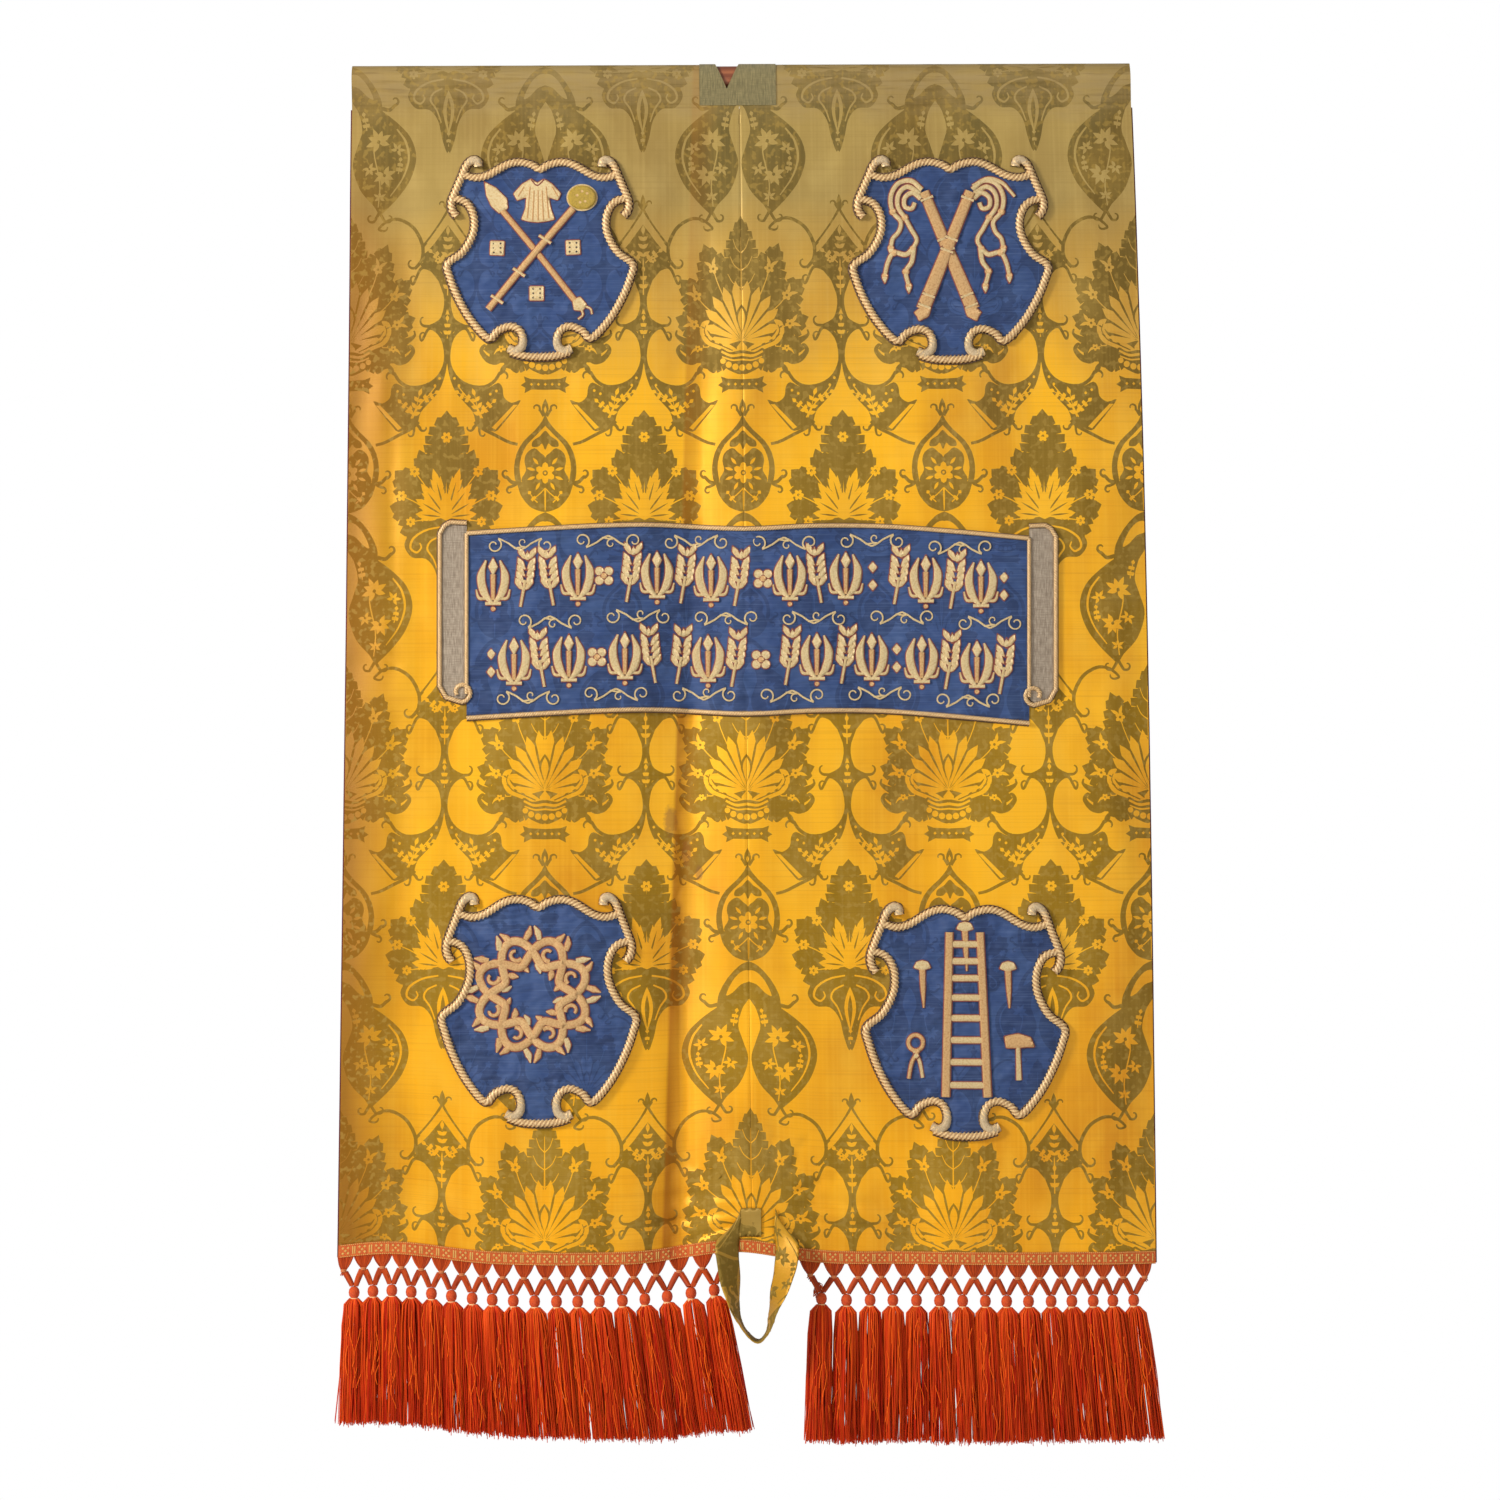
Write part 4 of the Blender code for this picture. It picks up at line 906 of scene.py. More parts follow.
def inside(points, outline):
    """True for each point that the outline winds round."""
    shape = np.array(outline)
    near = ((points >= shape.min(0)) & (points <= shape.max(0))).all(axis=1)
    found = np.zeros(len(points), bool)
    if not near.any():
        return found
    p = points[near]
    winding = np.zeros(len(p), int)
    for (x0, y0), (x1, y1) in zip(shape, np.roll(shape, -1, axis=0)):
        side = (x1 - x0) * (p[:, 1] - y0) - (p[:, 0] - x0) * (y1 - y0)
        winding += ((y0 <= p[:, 1]) & (p[:, 1] < y1) & (side > 0)).astype(int)
        winding -= ((y1 <= p[:, 1]) & (p[:, 1] < y0) & (side < 0)).astype(int)
    found[near] = winding != 0
    return found


def fill_plane(shapes, outline, step):
    """Triangles that fill the outline, with every shape's edge in them, and the value of each triangle."""
    edge = np.array(outline, float)
    low, high = edge.min(0), edge.max(0)
    points, edges = [], []
    for loop in [edge.tolist(), *[outline for _, outline in shapes]]:
        start = len(points)
        points += [Vector(p) for p in loop]
        edges += [(start + n, start + (n + 1) % len(loop)) for n in range(len(loop))]
    count = np.maximum(np.ceil((high - low) / step).astype(int), 1)
    xs, ys = [np.linspace(low[axis], high[axis], count[axis] + 1).tolist() for axis in (0, 1)]
    grid = np.array([(x, y) for x in xs for y in ys])
    box = np.isclose(grid, low).any(axis=1) | np.isclose(grid, high).any(axis=1)
    is_box = len(edge) == 4
    points += [Vector(p) for p in grid[inside(grid, edge) | (box & is_box)]]
    found, _, faces, *_ = delaunay_2d_cdt(points, edges, [], 0, 0.0005, False)
    flat = np.array([tuple(p) for p in found])
    triangles = np.array([f for f in faces if len(f) == 3])
    middles = flat[triangles].mean(axis=1)
    kept = inside(middles, edge)
    triangles, middles = triangles[kept], middles[kept]
    values = np.zeros(len(triangles), int)
    for value, shape in shapes:
        values[inside(middles, shape)] = value
    return flat, triangles, values


def new_object(name, points, faces, materials, slots=None, flat=None, tones=None):
    """A mesh with its flat coordinates as UVs, a tone at each point and a material at each face."""
    mesh = bpy.data.meshes.new(name)
    mesh.from_pydata(np.asarray(points).tolist(), [], [tuple(f) for f in faces])
    for material in materials:
        mesh.materials.append(material)
    if slots is not None:
        mesh.polygons.foreach_set("material_index", np.asarray(slots, np.int32))
    corners = np.empty(len(mesh.loops), np.int32)
    mesh.loops.foreach_get("vertex_index", corners)
    if flat is not None:
        layer = mesh.uv_layers.new(name="flat")
        layer.data.foreach_set("uv", np.asarray(flat, np.float32)[corners].ravel())
    if tones is not None:
        mesh.attributes.new("tone", "FLOAT", "POINT").data.foreach_set("value", np.asarray(tones, np.float32))
    mesh.validate()
    mesh.shade_smooth()
    made = bpy.data.objects.new(name, mesh)
    bpy.context.scene.collection.objects.link(made)
    return made


def add_lip(made, depth):
    """Turn the open edge back, so that the sheet shows its thickness."""
    work = bmesh.new()
    work.from_mesh(made.data)
    rim = [edge for edge in work.edges if edge.is_boundary]
    grown = bmesh.ops.extrude_edge_only(work, edges=rim)["geom"]
    for vertex in grown:
        if isinstance(vertex, bmesh.types.BMVert):
            vertex.co.y += depth
    for edge in rim:
        edge.smooth = False
    work.to_mesh(made.data)
    work.free()


class Pile:
    """Many small shapes that become one mesh."""

    def __init__(self):
        self.points, self.faces, self.slots, self.tones, self.flats = [], [], [], [], []
        self.count = 0

    def add(self, points, faces, slot=0, tone=0.5, flat=None):
        points = np.asarray(points, float).reshape(-1, 3)
        faces = np.asarray(faces)
        self.points.append(points)
        self.faces.append(faces + self.count)
        self.slots += [slot] * len(faces)
        self.tones.append(np.broadcast_to(np.asarray(tone, float), (len(points),)))
        flat = np.zeros((len(points), 2)) if flat is None else np.asarray(flat, float).reshape(-1, 2)
        self.flats.append(flat)
        self.count += len(points)

    def make(self, name, materials):
        faces = [tuple(face) for block in self.faces for face in block.tolist()]
        return new_object(name, np.concatenate(self.points), faces, materials, self.slots,
                          np.concatenate(self.flats), np.concatenate(self.tones))


def lengths(path):
    steps = np.linalg.norm(np.diff(path, axis=0), axis=1)
    return np.concatenate([[0.0], np.cumsum(steps)])


def resample(path, step):
    """The same path with points at even steps."""
    path = np.asarray(path, float)
    run = lengths(path)
    count = max(int(math.ceil(run[-1] / step)), 1)
    at = np.linspace(0.0, run[-1], count + 1)
    return np.stack([np.interp(at, run, path[:, axis]) for axis in range(path.shape[1])], axis=1)


def frames_along(path, closed=False):
    """Side and outward directions along a path; outward is towards the front."""
    if closed:
        along = np.roll(path, -1, axis=0) - np.roll(path, 1, axis=0)
    else:
        along = np.gradient(path, axis=0)
    along /= np.linalg.norm(along, axis=1, keepdims=True) + 1e-12
    front = np.array([0.0, -1.0, 0.0])
    out = front - along * (along @ front)[:, None]
    out /= np.linalg.norm(out, axis=1, keepdims=True) + 1e-12
    return np.cross(along, out), out


def tube(pile, path, radius, sides=6, slot=0, tone=0.5, closed=False, strands=0, pitch=0.0, ridge=0.0,
         shade=0.0):
    """A round cord along a path, with the ridges of its strands winding round it."""
    path = np.asarray(path, float)
    side, out = frames_along(path, closed)
    angles = np.linspace(0, 2 * math.pi, sides, endpoint=False)
    run = lengths(path)[:, None]
    radius = np.broadcast_to(np.asarray(radius, float), (len(path),))[:, None]
    size = radius * np.ones((1, sides))
    twist = np.zeros_like(size)
    if pitch:
        twist = np.cos(strands * angles[None, :] - 2 * math.pi * run / pitch)
    size = size * (1.0 + ridge * twist)
    ring = side[:, None, :] * (size * np.cos(angles))[..., None]
    ring = ring + out[:, None, :] * (size * np.sin(angles))[..., None]
    points = path[:, None, :] + ring
    count = len(path)
    first = np.arange(count if closed else count - 1)[:, None] * sides
    n = np.arange(sides)[None, :]
    after = (first + sides) % (count * sides)
    beside = (n + 1) % sides
    faces = np.stack([first + n, first + beside, after + beside, after + n], -1).reshape(-1, 4)
    flat = np.stack([np.broadcast_to(run, size.shape), np.broadcast_to(angles * radius, size.shape)], -1)
    # shade paints light on the strands' ridges and shade in the grooves between them
    tones = np.broadcast_to(np.asarray(tone, float).reshape(-1, 1), (count, sides)) + shade * twist
    tones = np.clip(tones, 0.0, 1.0).ravel()
    pile.add(points, faces, slot, tones, flat)


DOME_PROFILE = np.array([(-1.0, 0.0), (-0.72, 0.78), (0.0, 1.0), (0.72, 0.78), (1.0, 0.0)])
DOME_STEP = 2.0
DOME_RIM = 2.0
COUCHING_REACH = 0.9
COUCHING_RISE = 0.35
PATCH_COUCHING = (1.6, 1.6)
PATCH_COUCHING_RISE = 0.45


def dome_strip(pile, line, widths, height, slot, outline_slot, base, place, tone):
    """A padded strip of metal thread: a band with a rounded top, laid by place(x, z, out)."""
    line = resample(np.asarray(line, float), DOME_STEP)
    share = np.linspace(0, 1, len(line))
    half = np.interp(share, np.linspace(0, 1, len(widths)), widths) / 2
    along = np.gradient(line, axis=0)
    along /= np.linalg.norm(along, axis=1, keepdims=True) + 1e-9
    side = np.stack([-along[:, 1], along[:, 0]], axis=1)
    taper = np.minimum(1.0, (half + 0.2) / 2.2)
    wide = len(DOME_PROFILE)
    first = np.arange(len(line) - 1)[:, None] * wide
    n = np.arange(wide - 1)[None, :]
    faces = np.stack([first + wide + n, first + wide + n + 1, first + n + 1, first + n], -1).reshape(-1, 4)
    run = np.repeat((lengths(line) * MM)[:, None], wide, 1)
    flat = np.stack([run, DOME_PROFILE[:, 0][None, :] * half[:, None] * MM], -1)
    runs = [(0.0, slot, height)]
    if outline_slot is not None:
        runs.append((COUCHING_REACH, outline_slot, height * COUCHING_RISE))
    for grow, used, tall in runs:
        rows = []
        for reach, rise in DOME_PROFILE:
            spot = line + side * (reach * (half + grow))[:, None]
            rows.append(place(spot[:, 0], spot[:, 1], base + rise * tall * taper))
        pile.add(np.stack(rows, axis=1), faces, used, tone, flat)


def dome_patch(pile, outline, height, slot, outline_slot, base, place, tone, step):
    """A padded patch of metal thread with this outline, rounded off towards its edge."""
    edge = np.asarray(outline, float)
    loop = resample_loop(edge, DOME_STEP)
    flat, triangles, _ = fill_plane([], loop, step)
    far = edge_distance(flat, edge)
    rise = height * np.sqrt(np.clip(1.0 - (1.0 - np.clip(far / DOME_RIM, 0, 1)) ** 2, 0, 1))
    points = place(flat[:, 0], flat[:, 1], base + rise)
    used, triangles = only_used(len(flat), triangles)
    pile.add(points[used], triangles, slot, tone, flat[used] * MM)
    if outline_slot is not None:
        dome_strip(pile, [*loop, loop[0]], PATCH_COUCHING, height * PATCH_COUCHING_RISE, outline_slot, None,
                   base, place, tone)


def only_used(count, faces):
    """The numbers of the points that these faces use, and the faces counted among them."""
    used = np.unique(faces)
    place = np.full(count, -1)
    place[used] = np.arange(len(used))
    return used, place[faces]


def resample_loop(outline, step):
    closed = np.concatenate([outline, outline[:1]])
    return resample(closed, step)[:-1]


def edge_distance(points, outline):
    """How far each flat point is from the outline."""
    best = np.full(len(points), 1e9)
    for a, b in zip(outline, np.roll(outline, -1, axis=0)):
        along = b - a
        share = np.clip(((points - a) @ along) / (along @ along + 1e-12), 0, 1)
        best = np.minimum(best, np.linalg.norm(points - a - share[:, None] * along, axis=1))
    return best


def root(made, slot, *nodes):
    """The piece rides on the banner and stands for these solids; slot is not used."""
    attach(made, "root")
    if nodes:
        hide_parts(*nodes)
    return made


# Cloth pieces

CELL_STEP = 14.0
NORMAL_REACH = 0.0015
THIN_TOLERANCE = 0.22
THIN_SPAN = 12.0
FIRST_A_ROW = 306.0
SLEEVE_ROWS_END = 56.0
SEAM_COLUMNS = (0.7, 1.4, 4.0, 9.0)
LINING_STEP = 15.0
LINING_BEHIND = 0.0016
LINING_SHORTER = 0.001
# Closer rows and columns by the loop's puckers, in millimetres
LINING_ROWS = np.arange(1310.0, 1498.0, 6.0)
LINING_COLUMNS = np.arange(-170.0, 186.0, 6.0)
NOTCH_X = 0.001
NOTCH_HALF_WIDTH = 0.0165
NOTCH_DEPTH = 0.0296
NOTCH_RISE = 0.006
PATCH_LEFT = -0.034
PATCH_RIGHT = 0.062
PATCH_THICKNESS = 0.0009
PATCH_DEPTH = 0.0488
PATCH_BACK = 0.024
PATCH_SCALE = 0.95
PATCH_GAP = 0.0001
BRAID_DEPTH = 0.016
LIP_SHARE = 0.8


def thinned(outline, tolerance=THIN_TOLERANCE):
    """The outline without the points that a straight edge can do without."""
    kept = [np.array(point, float) for point in outline]
    n = 0
    while n < len(kept) and len(kept) > 4:
        before, here, after = kept[n - 1], kept[n], kept[(n + 1) % len(kept)]
        along, beside = after - before, here - before
        span = np.linalg.norm(along) + 1e-9
        if abs(along[0] * beside[1] - along[1] * beside[0]) / span < tolerance and span < THIN_SPAN:
            kept.pop(n)
        n += 1
    return [tuple(point) for point in kept]


def figure_cell():
    """Half a repeat in millimetres: its points, its triangles and which of them are figure."""
    shapes = []
    for value, outline in damask_figure():
        outline = thinned(outline)
        for shift in (-REPEAT_DROP, 0.0, REPEAT_DROP):
            moved = [(x, y + shift) for x, y in outline]
            ys = [y for _, y in moved]
            if max(ys) > -1 and min(ys) < REPEAT_DROP + 1:
                shapes.append((value, moved))
    box = [(0.0, 0.0), (SIDE, 0.0), (SIDE, REPEAT_DROP), (0.0, REPEAT_DROP)]
    return fill_plane(shapes, box, CELL_STEP)


def lay_figure(cell, low, high, shift=(0.0, FIRST_A_ROW)):
    """The figure repeated over a flat region in millimetres, as points, triangles and values."""
    flat, triangles, values = cell
    blocks, faces, kinds, count = [], [], [], 0
    columns, rows = [range(math.floor((low[axis] - shift[axis]) / size) - 1,
                           math.ceil((high[axis] - shift[axis]) / size) + 1)
                     for axis, size in enumerate((SIDE, REPEAT_DROP))]
    for column in columns:
        for row in rows:
            mirror = column % 2
            x = (SIDE - flat[:, 0] if mirror else flat[:, 0]) + column * SIDE + shift[0]
            y = flat[:, 1] + row * REPEAT_DROP + shift[1]
            if x.max() <= low[0] or x.min() >= high[0] or y.max() <= low[1] or y.min() >= high[1]:
                continue
            blocks.append(np.stack([x, y], axis=1))
            faces.append((triangles[:, ::-1] if mirror else triangles) + count)
            kinds.append(values)
            count += len(flat)
    return np.concatenate(blocks), np.concatenate(faces), np.concatenate(kinds)


def cut_flat(points, faces, values, cuts):
    """Weld a flat mesh and keep what lies inside every cut, each a point and a direction out."""
    mesh = bpy.data.meshes.new("flat")
    mesh.from_pydata([(x, y, 0.0) for x, y in points], [], faces.tolist())
    mesh.polygons.foreach_set("material_index", values.astype(np.int32))
    work = bmesh.new()
    work.from_mesh(mesh)
    bmesh.ops.remove_doubles(work, verts=work.verts, dist=0.004)
    cut_along(work, cuts, True)
    work.to_mesh(mesh)
    work.free()
    return mesh


def cut_along(work, lines, clear=False):
    """Cut edges into a flat mesh along these lines, and clear what lies outside them."""
    for place, out in lines:
        geometry = [*work.verts, *work.edges, *work.faces]
        bmesh.ops.bisect_plane(work, geom=geometry, dist=0.0005, plane_co=(*place, 0), plane_no=(*out, 0),
                               clear_outer=clear)


def box_cuts(low, high):
    return [(low, (-1, 0)), (low, (0, -1)), (high, (1, 0)), (high, (0, 1))]


def split_mesh(mesh, lines):
    """Cut extra edges into a flat mesh along these lines."""
    work = bmesh.new()
    work.from_mesh(mesh)
    cut_along(work, lines)
    work.to_mesh(mesh)
    work.free()
    return mesh


def mesh_arrays(mesh):
    work = bmesh.new()
    work.from_mesh(mesh)
    bmesh.ops.triangulate(work, faces=work.faces)
    points = np.array([v.co[:2] for v in work.verts])
    faces = np.array([[v.index for v in f.verts] for f in work.faces])
    values = np.array([f.material_index for f in work.faces])
    work.free()
    return points, faces, values


def surface_normals(place, points):
    """Directions out of the surface, worked out from the surface itself."""
    x, y = points.T
    across_step = place(x + NORMAL_REACH, y) - place(x - NORMAL_REACH, y)
    down_step = place(x, y + NORMAL_REACH) - place(x, y - NORMAL_REACH)
    out = np.cross(down_step, across_step)
    length = np.linalg.norm(out, axis=1, keepdims=True)
    return np.where(length > 1e-12, out / np.maximum(length, 1e-12), (0.0, -1.0, 0.0))


def lay_flat(name, flat, faces, values, place, materials, thick):
    """Lay flat triangles on a surface, both in metres, and show the cloth's thickness at the edge."""
    spots = place(flat[:, 0], flat[:, 1])
    normals = surface_normals(place, flat)
    way = np.cross(spots[faces[:, 1]] - spots[faces[:, 0]], spots[faces[:, 2]] - spots[faces[:, 0]])
    if (way * normals[faces[:, 0]]).sum() < 0:
        faces = faces[:, ::-1]
    made = new_object(name, spots, faces, materials, values, flat)
    made.data.normals_split_custom_set_from_vertices([tuple(n) for n in normals])
    if thick:
        add_lip(made, thick)
    return made


def hang(name, mesh, place, materials, thick=None):
    """Lay a flat mesh in millimetres on a surface given in metres."""
    points, faces, values = mesh_arrays(mesh)
    return lay_flat(name, points * MM, faces, values, place, materials, thick)


def cloth_at(out):
    """The hanging cloth's surface this far in front of its back."""
    def place(u, down):
        return cloth(u, down, out)
    return place


def build_panel(name, cell, side, m):
    """One half of the front, from its turned-in end over the rod down to the hem, with the notch cut out."""
    top = (SLEEVE_DEPTH - sleeve_length(FRONT_THICKNESS)) / MM
    inner, outer = sorted((side * SEAM_HALF_GAP / MM, side * HALF_WIDTH / MM))
    low, high = (inner, top), (outer, DROP / MM)
    mesh = cut_flat(*lay_figure(cell, low, high), box_cuts(low, high))
    lines = [((0, y), (0, 1)) for y in np.arange(top + 7, SLEEVE_ROWS_END, 5.0)]
    lines += [((side * x, 0), (1, 0)) for x in SEAM_COLUMNS]
    made = hang(name, split_mesh(mesh, lines), cloth_at(FRONT_THICKNESS), [m["ground"], m["figure"]])
    cut_notch(made)
    add_lip(made, FRONT_THICKNESS * LIP_SHARE)
    return made


def cut_notch(made):
    """Take out the V over the middle, in front, above and behind the rod."""
    tip = (NOTCH_X, 0.0, -NOTCH_DEPTH)
    work = bmesh.new()
    work.from_mesh(made.data)
    for side in (-1, 1):
        out = Vector((side * (NOTCH_DEPTH + NOTCH_RISE), 0, -NOTCH_HALF_WIDTH)).normalized()
        geometry = [*work.verts, *work.edges, *work.faces]
        bmesh.ops.bisect_plane(work, geom=geometry, dist=1e-7, plane_co=tip, plane_no=out)
    slope = NOTCH_HALF_WIDTH / (NOTCH_DEPTH + NOTCH_RISE)
    gone = []
    for face in work.faces:
        middle = face.calc_center_median()
        if middle.z > -NOTCH_DEPTH and abs(middle.x - NOTCH_X) < (middle.z + NOTCH_DEPTH) * slope:
            gone.append(face)
    bmesh.ops.delete(work, geom=gone, context="FACES")
    work.to_mesh(made.data)
    work.free()


def grid_mesh(low, high, step, rows=(), columns=()):
    """A plain flat mesh in millimetres."""
    count = [max(int(math.ceil((b - a) / step)), 1) for a, b in zip(low, high)]
    xs = sorted({*np.round(np.linspace(low[0], high[0], count[0] + 1), 4), *columns})
    ys = sorted({*np.round(np.linspace(low[1], high[1], count[1] + 1), 4), *rows})
    points = [(x, y, 0.0) for y in ys for x in xs]
    wide = len(xs)
    faces = [(r * wide + c, r * wide + c + 1, (r + 1) * wide + c + 1, (r + 1) * wide + c)
             for r in range(len(ys) - 1) for c in range(wide - 1)]
    mesh = bpy.data.meshes.new("flat")
    mesh.from_pydata(points, [], faces)
    return mesh


def build_lining(m):
    low = (-(HALF_WIDTH + LINING_OVERHANG) / MM, LINING_TOP / MM)
    high = ((HALF_WIDTH + LINING_OVERHANG) / MM, (DROP - LINING_SHORTER) / MM)
    mesh = grid_mesh(low, high, LINING_STEP, LINING_ROWS, LINING_COLUMNS)
    made = hang("lining_cloth", mesh, cloth_at(-LINING_BEHIND), [m["lining"]], LINING_THICKNESS)
    return made


def patch_cloth(x, down):
    u = x / PATCH_SCALE - SEAM_TOP_X / PATCH_SCALE
    return cloth(u, down, FRONT_THICKNESS + PATCH_THICKNESS + PATCH_GAP)


def build_patch(m):
    low = (PATCH_LEFT / MM, -PATCH_BACK / MM)
    high = (PATCH_RIGHT / MM, PATCH_DEPTH / MM)
    made = hang("patch_canvas", grid_mesh(low, high, 3.0), patch_cloth, [m["canvas"]])
    cut_notch(made)
    add_lip(made, PATCH_THICKNESS * LIP_SHARE)
    return made


# Shields and scroll

SHIELDS = (
    # x, z, half_width, half_height
    (-0.2325, -0.2410, 0.1170, 0.1245),
    (0.2810, -0.2425, 0.1225, 0.1265),
    (-0.2340, -1.1810, 0.1220, 0.1430),
    (0.2995, -1.1955, 0.1250, 0.1450),
)
SHIELD_CORD_RADIUS = 0.0052
SHIELD_TOP = ((0.0, 0.896), (0.091, 0.940), (0.229, 0.966), (0.366, 0.936), (0.560, 0.835), (0.700, 0.812),
              (0.830, 0.845))
SHIELD_EAR = ((0.662, 0.920), (0.672, 0.975), (0.725, 0.985), (0.787, 0.935), (0.838, 0.821), (0.899, 0.688),
              (0.947, 0.568), (0.936, 0.479), (0.890, 0.425))
SHIELD_SIDE = ((0.930, 0.602), (0.830, 0.583), (0.753, 0.524), (0.704, 0.400), (0.720, 0.240), (0.830, 0.060),
               (0.988, -0.057), (0.964, -0.190), (0.880, -0.390), (0.740, -0.615), (0.552, -0.801),
               (0.452, -0.729), (0.332, -0.685), (0.229, -0.714), (0.182, -0.801), (0.194, -0.890),
               (0.263, -0.932), (0.338, -0.905))
SHIELD_FOOT = ((0.314, -0.942), (0.177, -0.979), (0.0, -0.990))
SHIELD_PUCKERS = (0.0006, 0.0006, 0.0013, 0.0012)
APPLIQUE_OUT = 0.0023
SCROLL_MIDDLE = (
    # x, z
    (-0.325, -0.7005), (-0.240, -0.6955), (-0.155, -0.6910), (-0.080, -0.6900), (0.022, -0.6950),
    (0.110, -0.6910), (0.195, -0.6915), (0.282, -0.6980), (0.379, -0.7070),
)
SCROLL_LEFT = -0.3245
SCROLL_RIGHT = 0.3790
SCROLL_HALF_HEIGHT = 0.1155
SCROLL_END_WIDTH = 0.0335
SCROLL_END_TOP = -0.5710
SCROLL_END_BASE = -0.7900
SCROLL_END_SAG = 0.006
SCROLL_RIGHT_END_LOWER = 0.004
SCROLL_CORD_RADIUS = 0.0030
BLUE_FIGURE_SIZE = 0.62
SMALLEST_BLUE_SHAPE = 45.0
ROPE_PITCH = 0.0052
ROPE_STEP = 0.0013
BLUE_THIN_TOLERANCE = 0.45
BLUE_COLUMNS = range(-6, 7)
BLUE_ROWS = range(-3, 4)
BLUE_THICKNESS = 0.0010
ROPE_TONE = 0.62
SHIELD_BEAD_PITCH = 0.0048
SCROLL_BEAD_PITCH = 0.0042
SCROLL_ROPE_PITCH = 0.0033
SCROLL_ROPE_STEP = 0.0011
SCROLL_ROPE_SIDES = 7
SCROLL_CURL_RADIUS = 0.0125
SCROLL_EDGE_POINTS = 49
# How far from its edge an applied piece is turned down, and where its puckers begin
TURNED_DOWN = 0.0012
TURNED_DOWN_REACH = 0.004
PUCKERS_BEGIN = 0.012


def smooth_line(points, steps=6):
    return np.array(catmull(points, steps))


def mirrored(points):
    return [(-x, y) for x, y in points]


def shield_outline():
    half = [*SHIELD_TOP[:-1], *SHIELD_EAR[4:7], *SHIELD_SIDE[1:16], *SHIELD_FOOT[1:]]
    return half + mirrored(half[1:-1])[::-1]


def area_of(outline):
    shape = np.array(outline)
    after = np.roll(shape, -1, axis=0)
    return abs(np.sum(shape[:, 0] * after[:, 1] - after[:, 0] * shape[:, 1])) / 2


def blue_shapes(low, high, shift):
    """The damask figure at a smaller size over a region, both halves, without its smallest shapes."""
    shapes = []
    size = BLUE_FIGURE_SIZE
    for value, outline in damask_figure():
        if area_of(outline) < SMALLEST_BLUE_SHAPE:
            continue
        flat = np.array(thinned(outline, BLUE_THIN_TOLERANCE)) * size
        for column in BLUE_COLUMNS:
            for row in BLUE_ROWS:
                x = SIDE * size - flat[:, 0] if column % 2 else flat[:, 0]
                x = x + column * SIDE * size + shift[0]
                y = flat[:, 1] + row * REPEAT_DROP * size + shift[1]
                if x.max() < low[0] or x.min() > high[0] or y.max() < low[1] or y.min() > high[1]:
                    continue
                shapes.append((value, list(zip(x.tolist(), y.tolist()))))
    return shapes


def lay(name, outline, shapes, step, place, materials):
    """A cut piece of cloth, its outline and figure in millimetres, laid on a surface."""
    points, faces, values = fill_plane(shapes, outline, step)
    used, faces = only_used(len(points), faces)
    return lay_flat(name, points[used] * MM, faces, values, place, materials, BLUE_THICKNESS)


def applique_place(edge, puckers, lift_by, ripple=0.030):
    """Where a sewn-on piece lies: turned down at its edge, with puckers that run in from it."""
    edge = np.asarray(edge) * MM
    middle = edge.mean(axis=0)

    def place(x, down):
        points = np.stack([x, down], axis=1)
        far = edge_distance(points, edge)
        angle = np.arctan2(down - middle[1], x - middle[0])
        waves = np.sin(angle * 17 + 2.1 * np.sin(angle * 3)) + 0.6 * np.sin(angle * 29 + 1.3)
        begun = smooth(far / PUCKERS_BEGIN)
        rise = lift_by + puckers * waves * np.exp(-far / ripple) * begun
        crumple = np.sin(x * 310 + 3 * np.sin(down * 120)) * np.sin(down * 260 + 3 * np.sin(x * 90))
        rise = rise + 0.45 * puckers * crumple * begun
        rise = rise - TURNED_DOWN * (1 - smooth(far / TURNED_DOWN_REACH))
        return on_front(x, -down, rise)
    return place


def rope(pile, path, radius, pitch, sides=8, step=ROPE_STEP):
    """A laid cord: painted highlight on its strands' ridges and painted shade in the grooves between them, by
    the tone at each place.
    """
    path = resample(path, step)
    tube(pile, path, radius, sides, 0, ROPE_TONE, strands=3, pitch=pitch, ridge=0.18, shade=0.5)


def beads(pile, path, far, pitch):
    """The thin beaded cords on both sides of a cord, with painted highlight on each bead and painted shade
    between beads.
    """
    for way in (-1, 1):
        line = resample(path, pitch / 3)
        side, out = frames_along(line)
        spot = line + side * way * far - out * 0.0022
        run = lengths(spot)
        size = 0.0013 * (1.0 + 0.32 * np.cos(2 * math.pi * run / pitch))
        # Painted highlight at each bead's fullest and painted shade at its waist
        tube(pile, spot, size, 3, 1, 0.5 + 0.4 * np.cos(2 * math.pi * run / pitch))


def shield_runs(row):
    x0, z0, half_width, half_height = row
    top = [*mirrored(SHIELD_TOP[1:])[::-1], *SHIELD_TOP]
    foot = [*mirrored(SHIELD_FOOT[:-1]), *SHIELD_FOOT[::-1]]
    runs = [("top", top), ("foot", foot)]
    for flip in (1, -1):
        runs.append(("ear", [(flip * x, y) for x, y in SHIELD_EAR]))
        runs.append(("side", [(flip * x, y) for x, y in SHIELD_SIDE]))
    return [(kind, smooth_line(run) * (half_width, half_height) + (x0, z0)) for kind, run in runs]


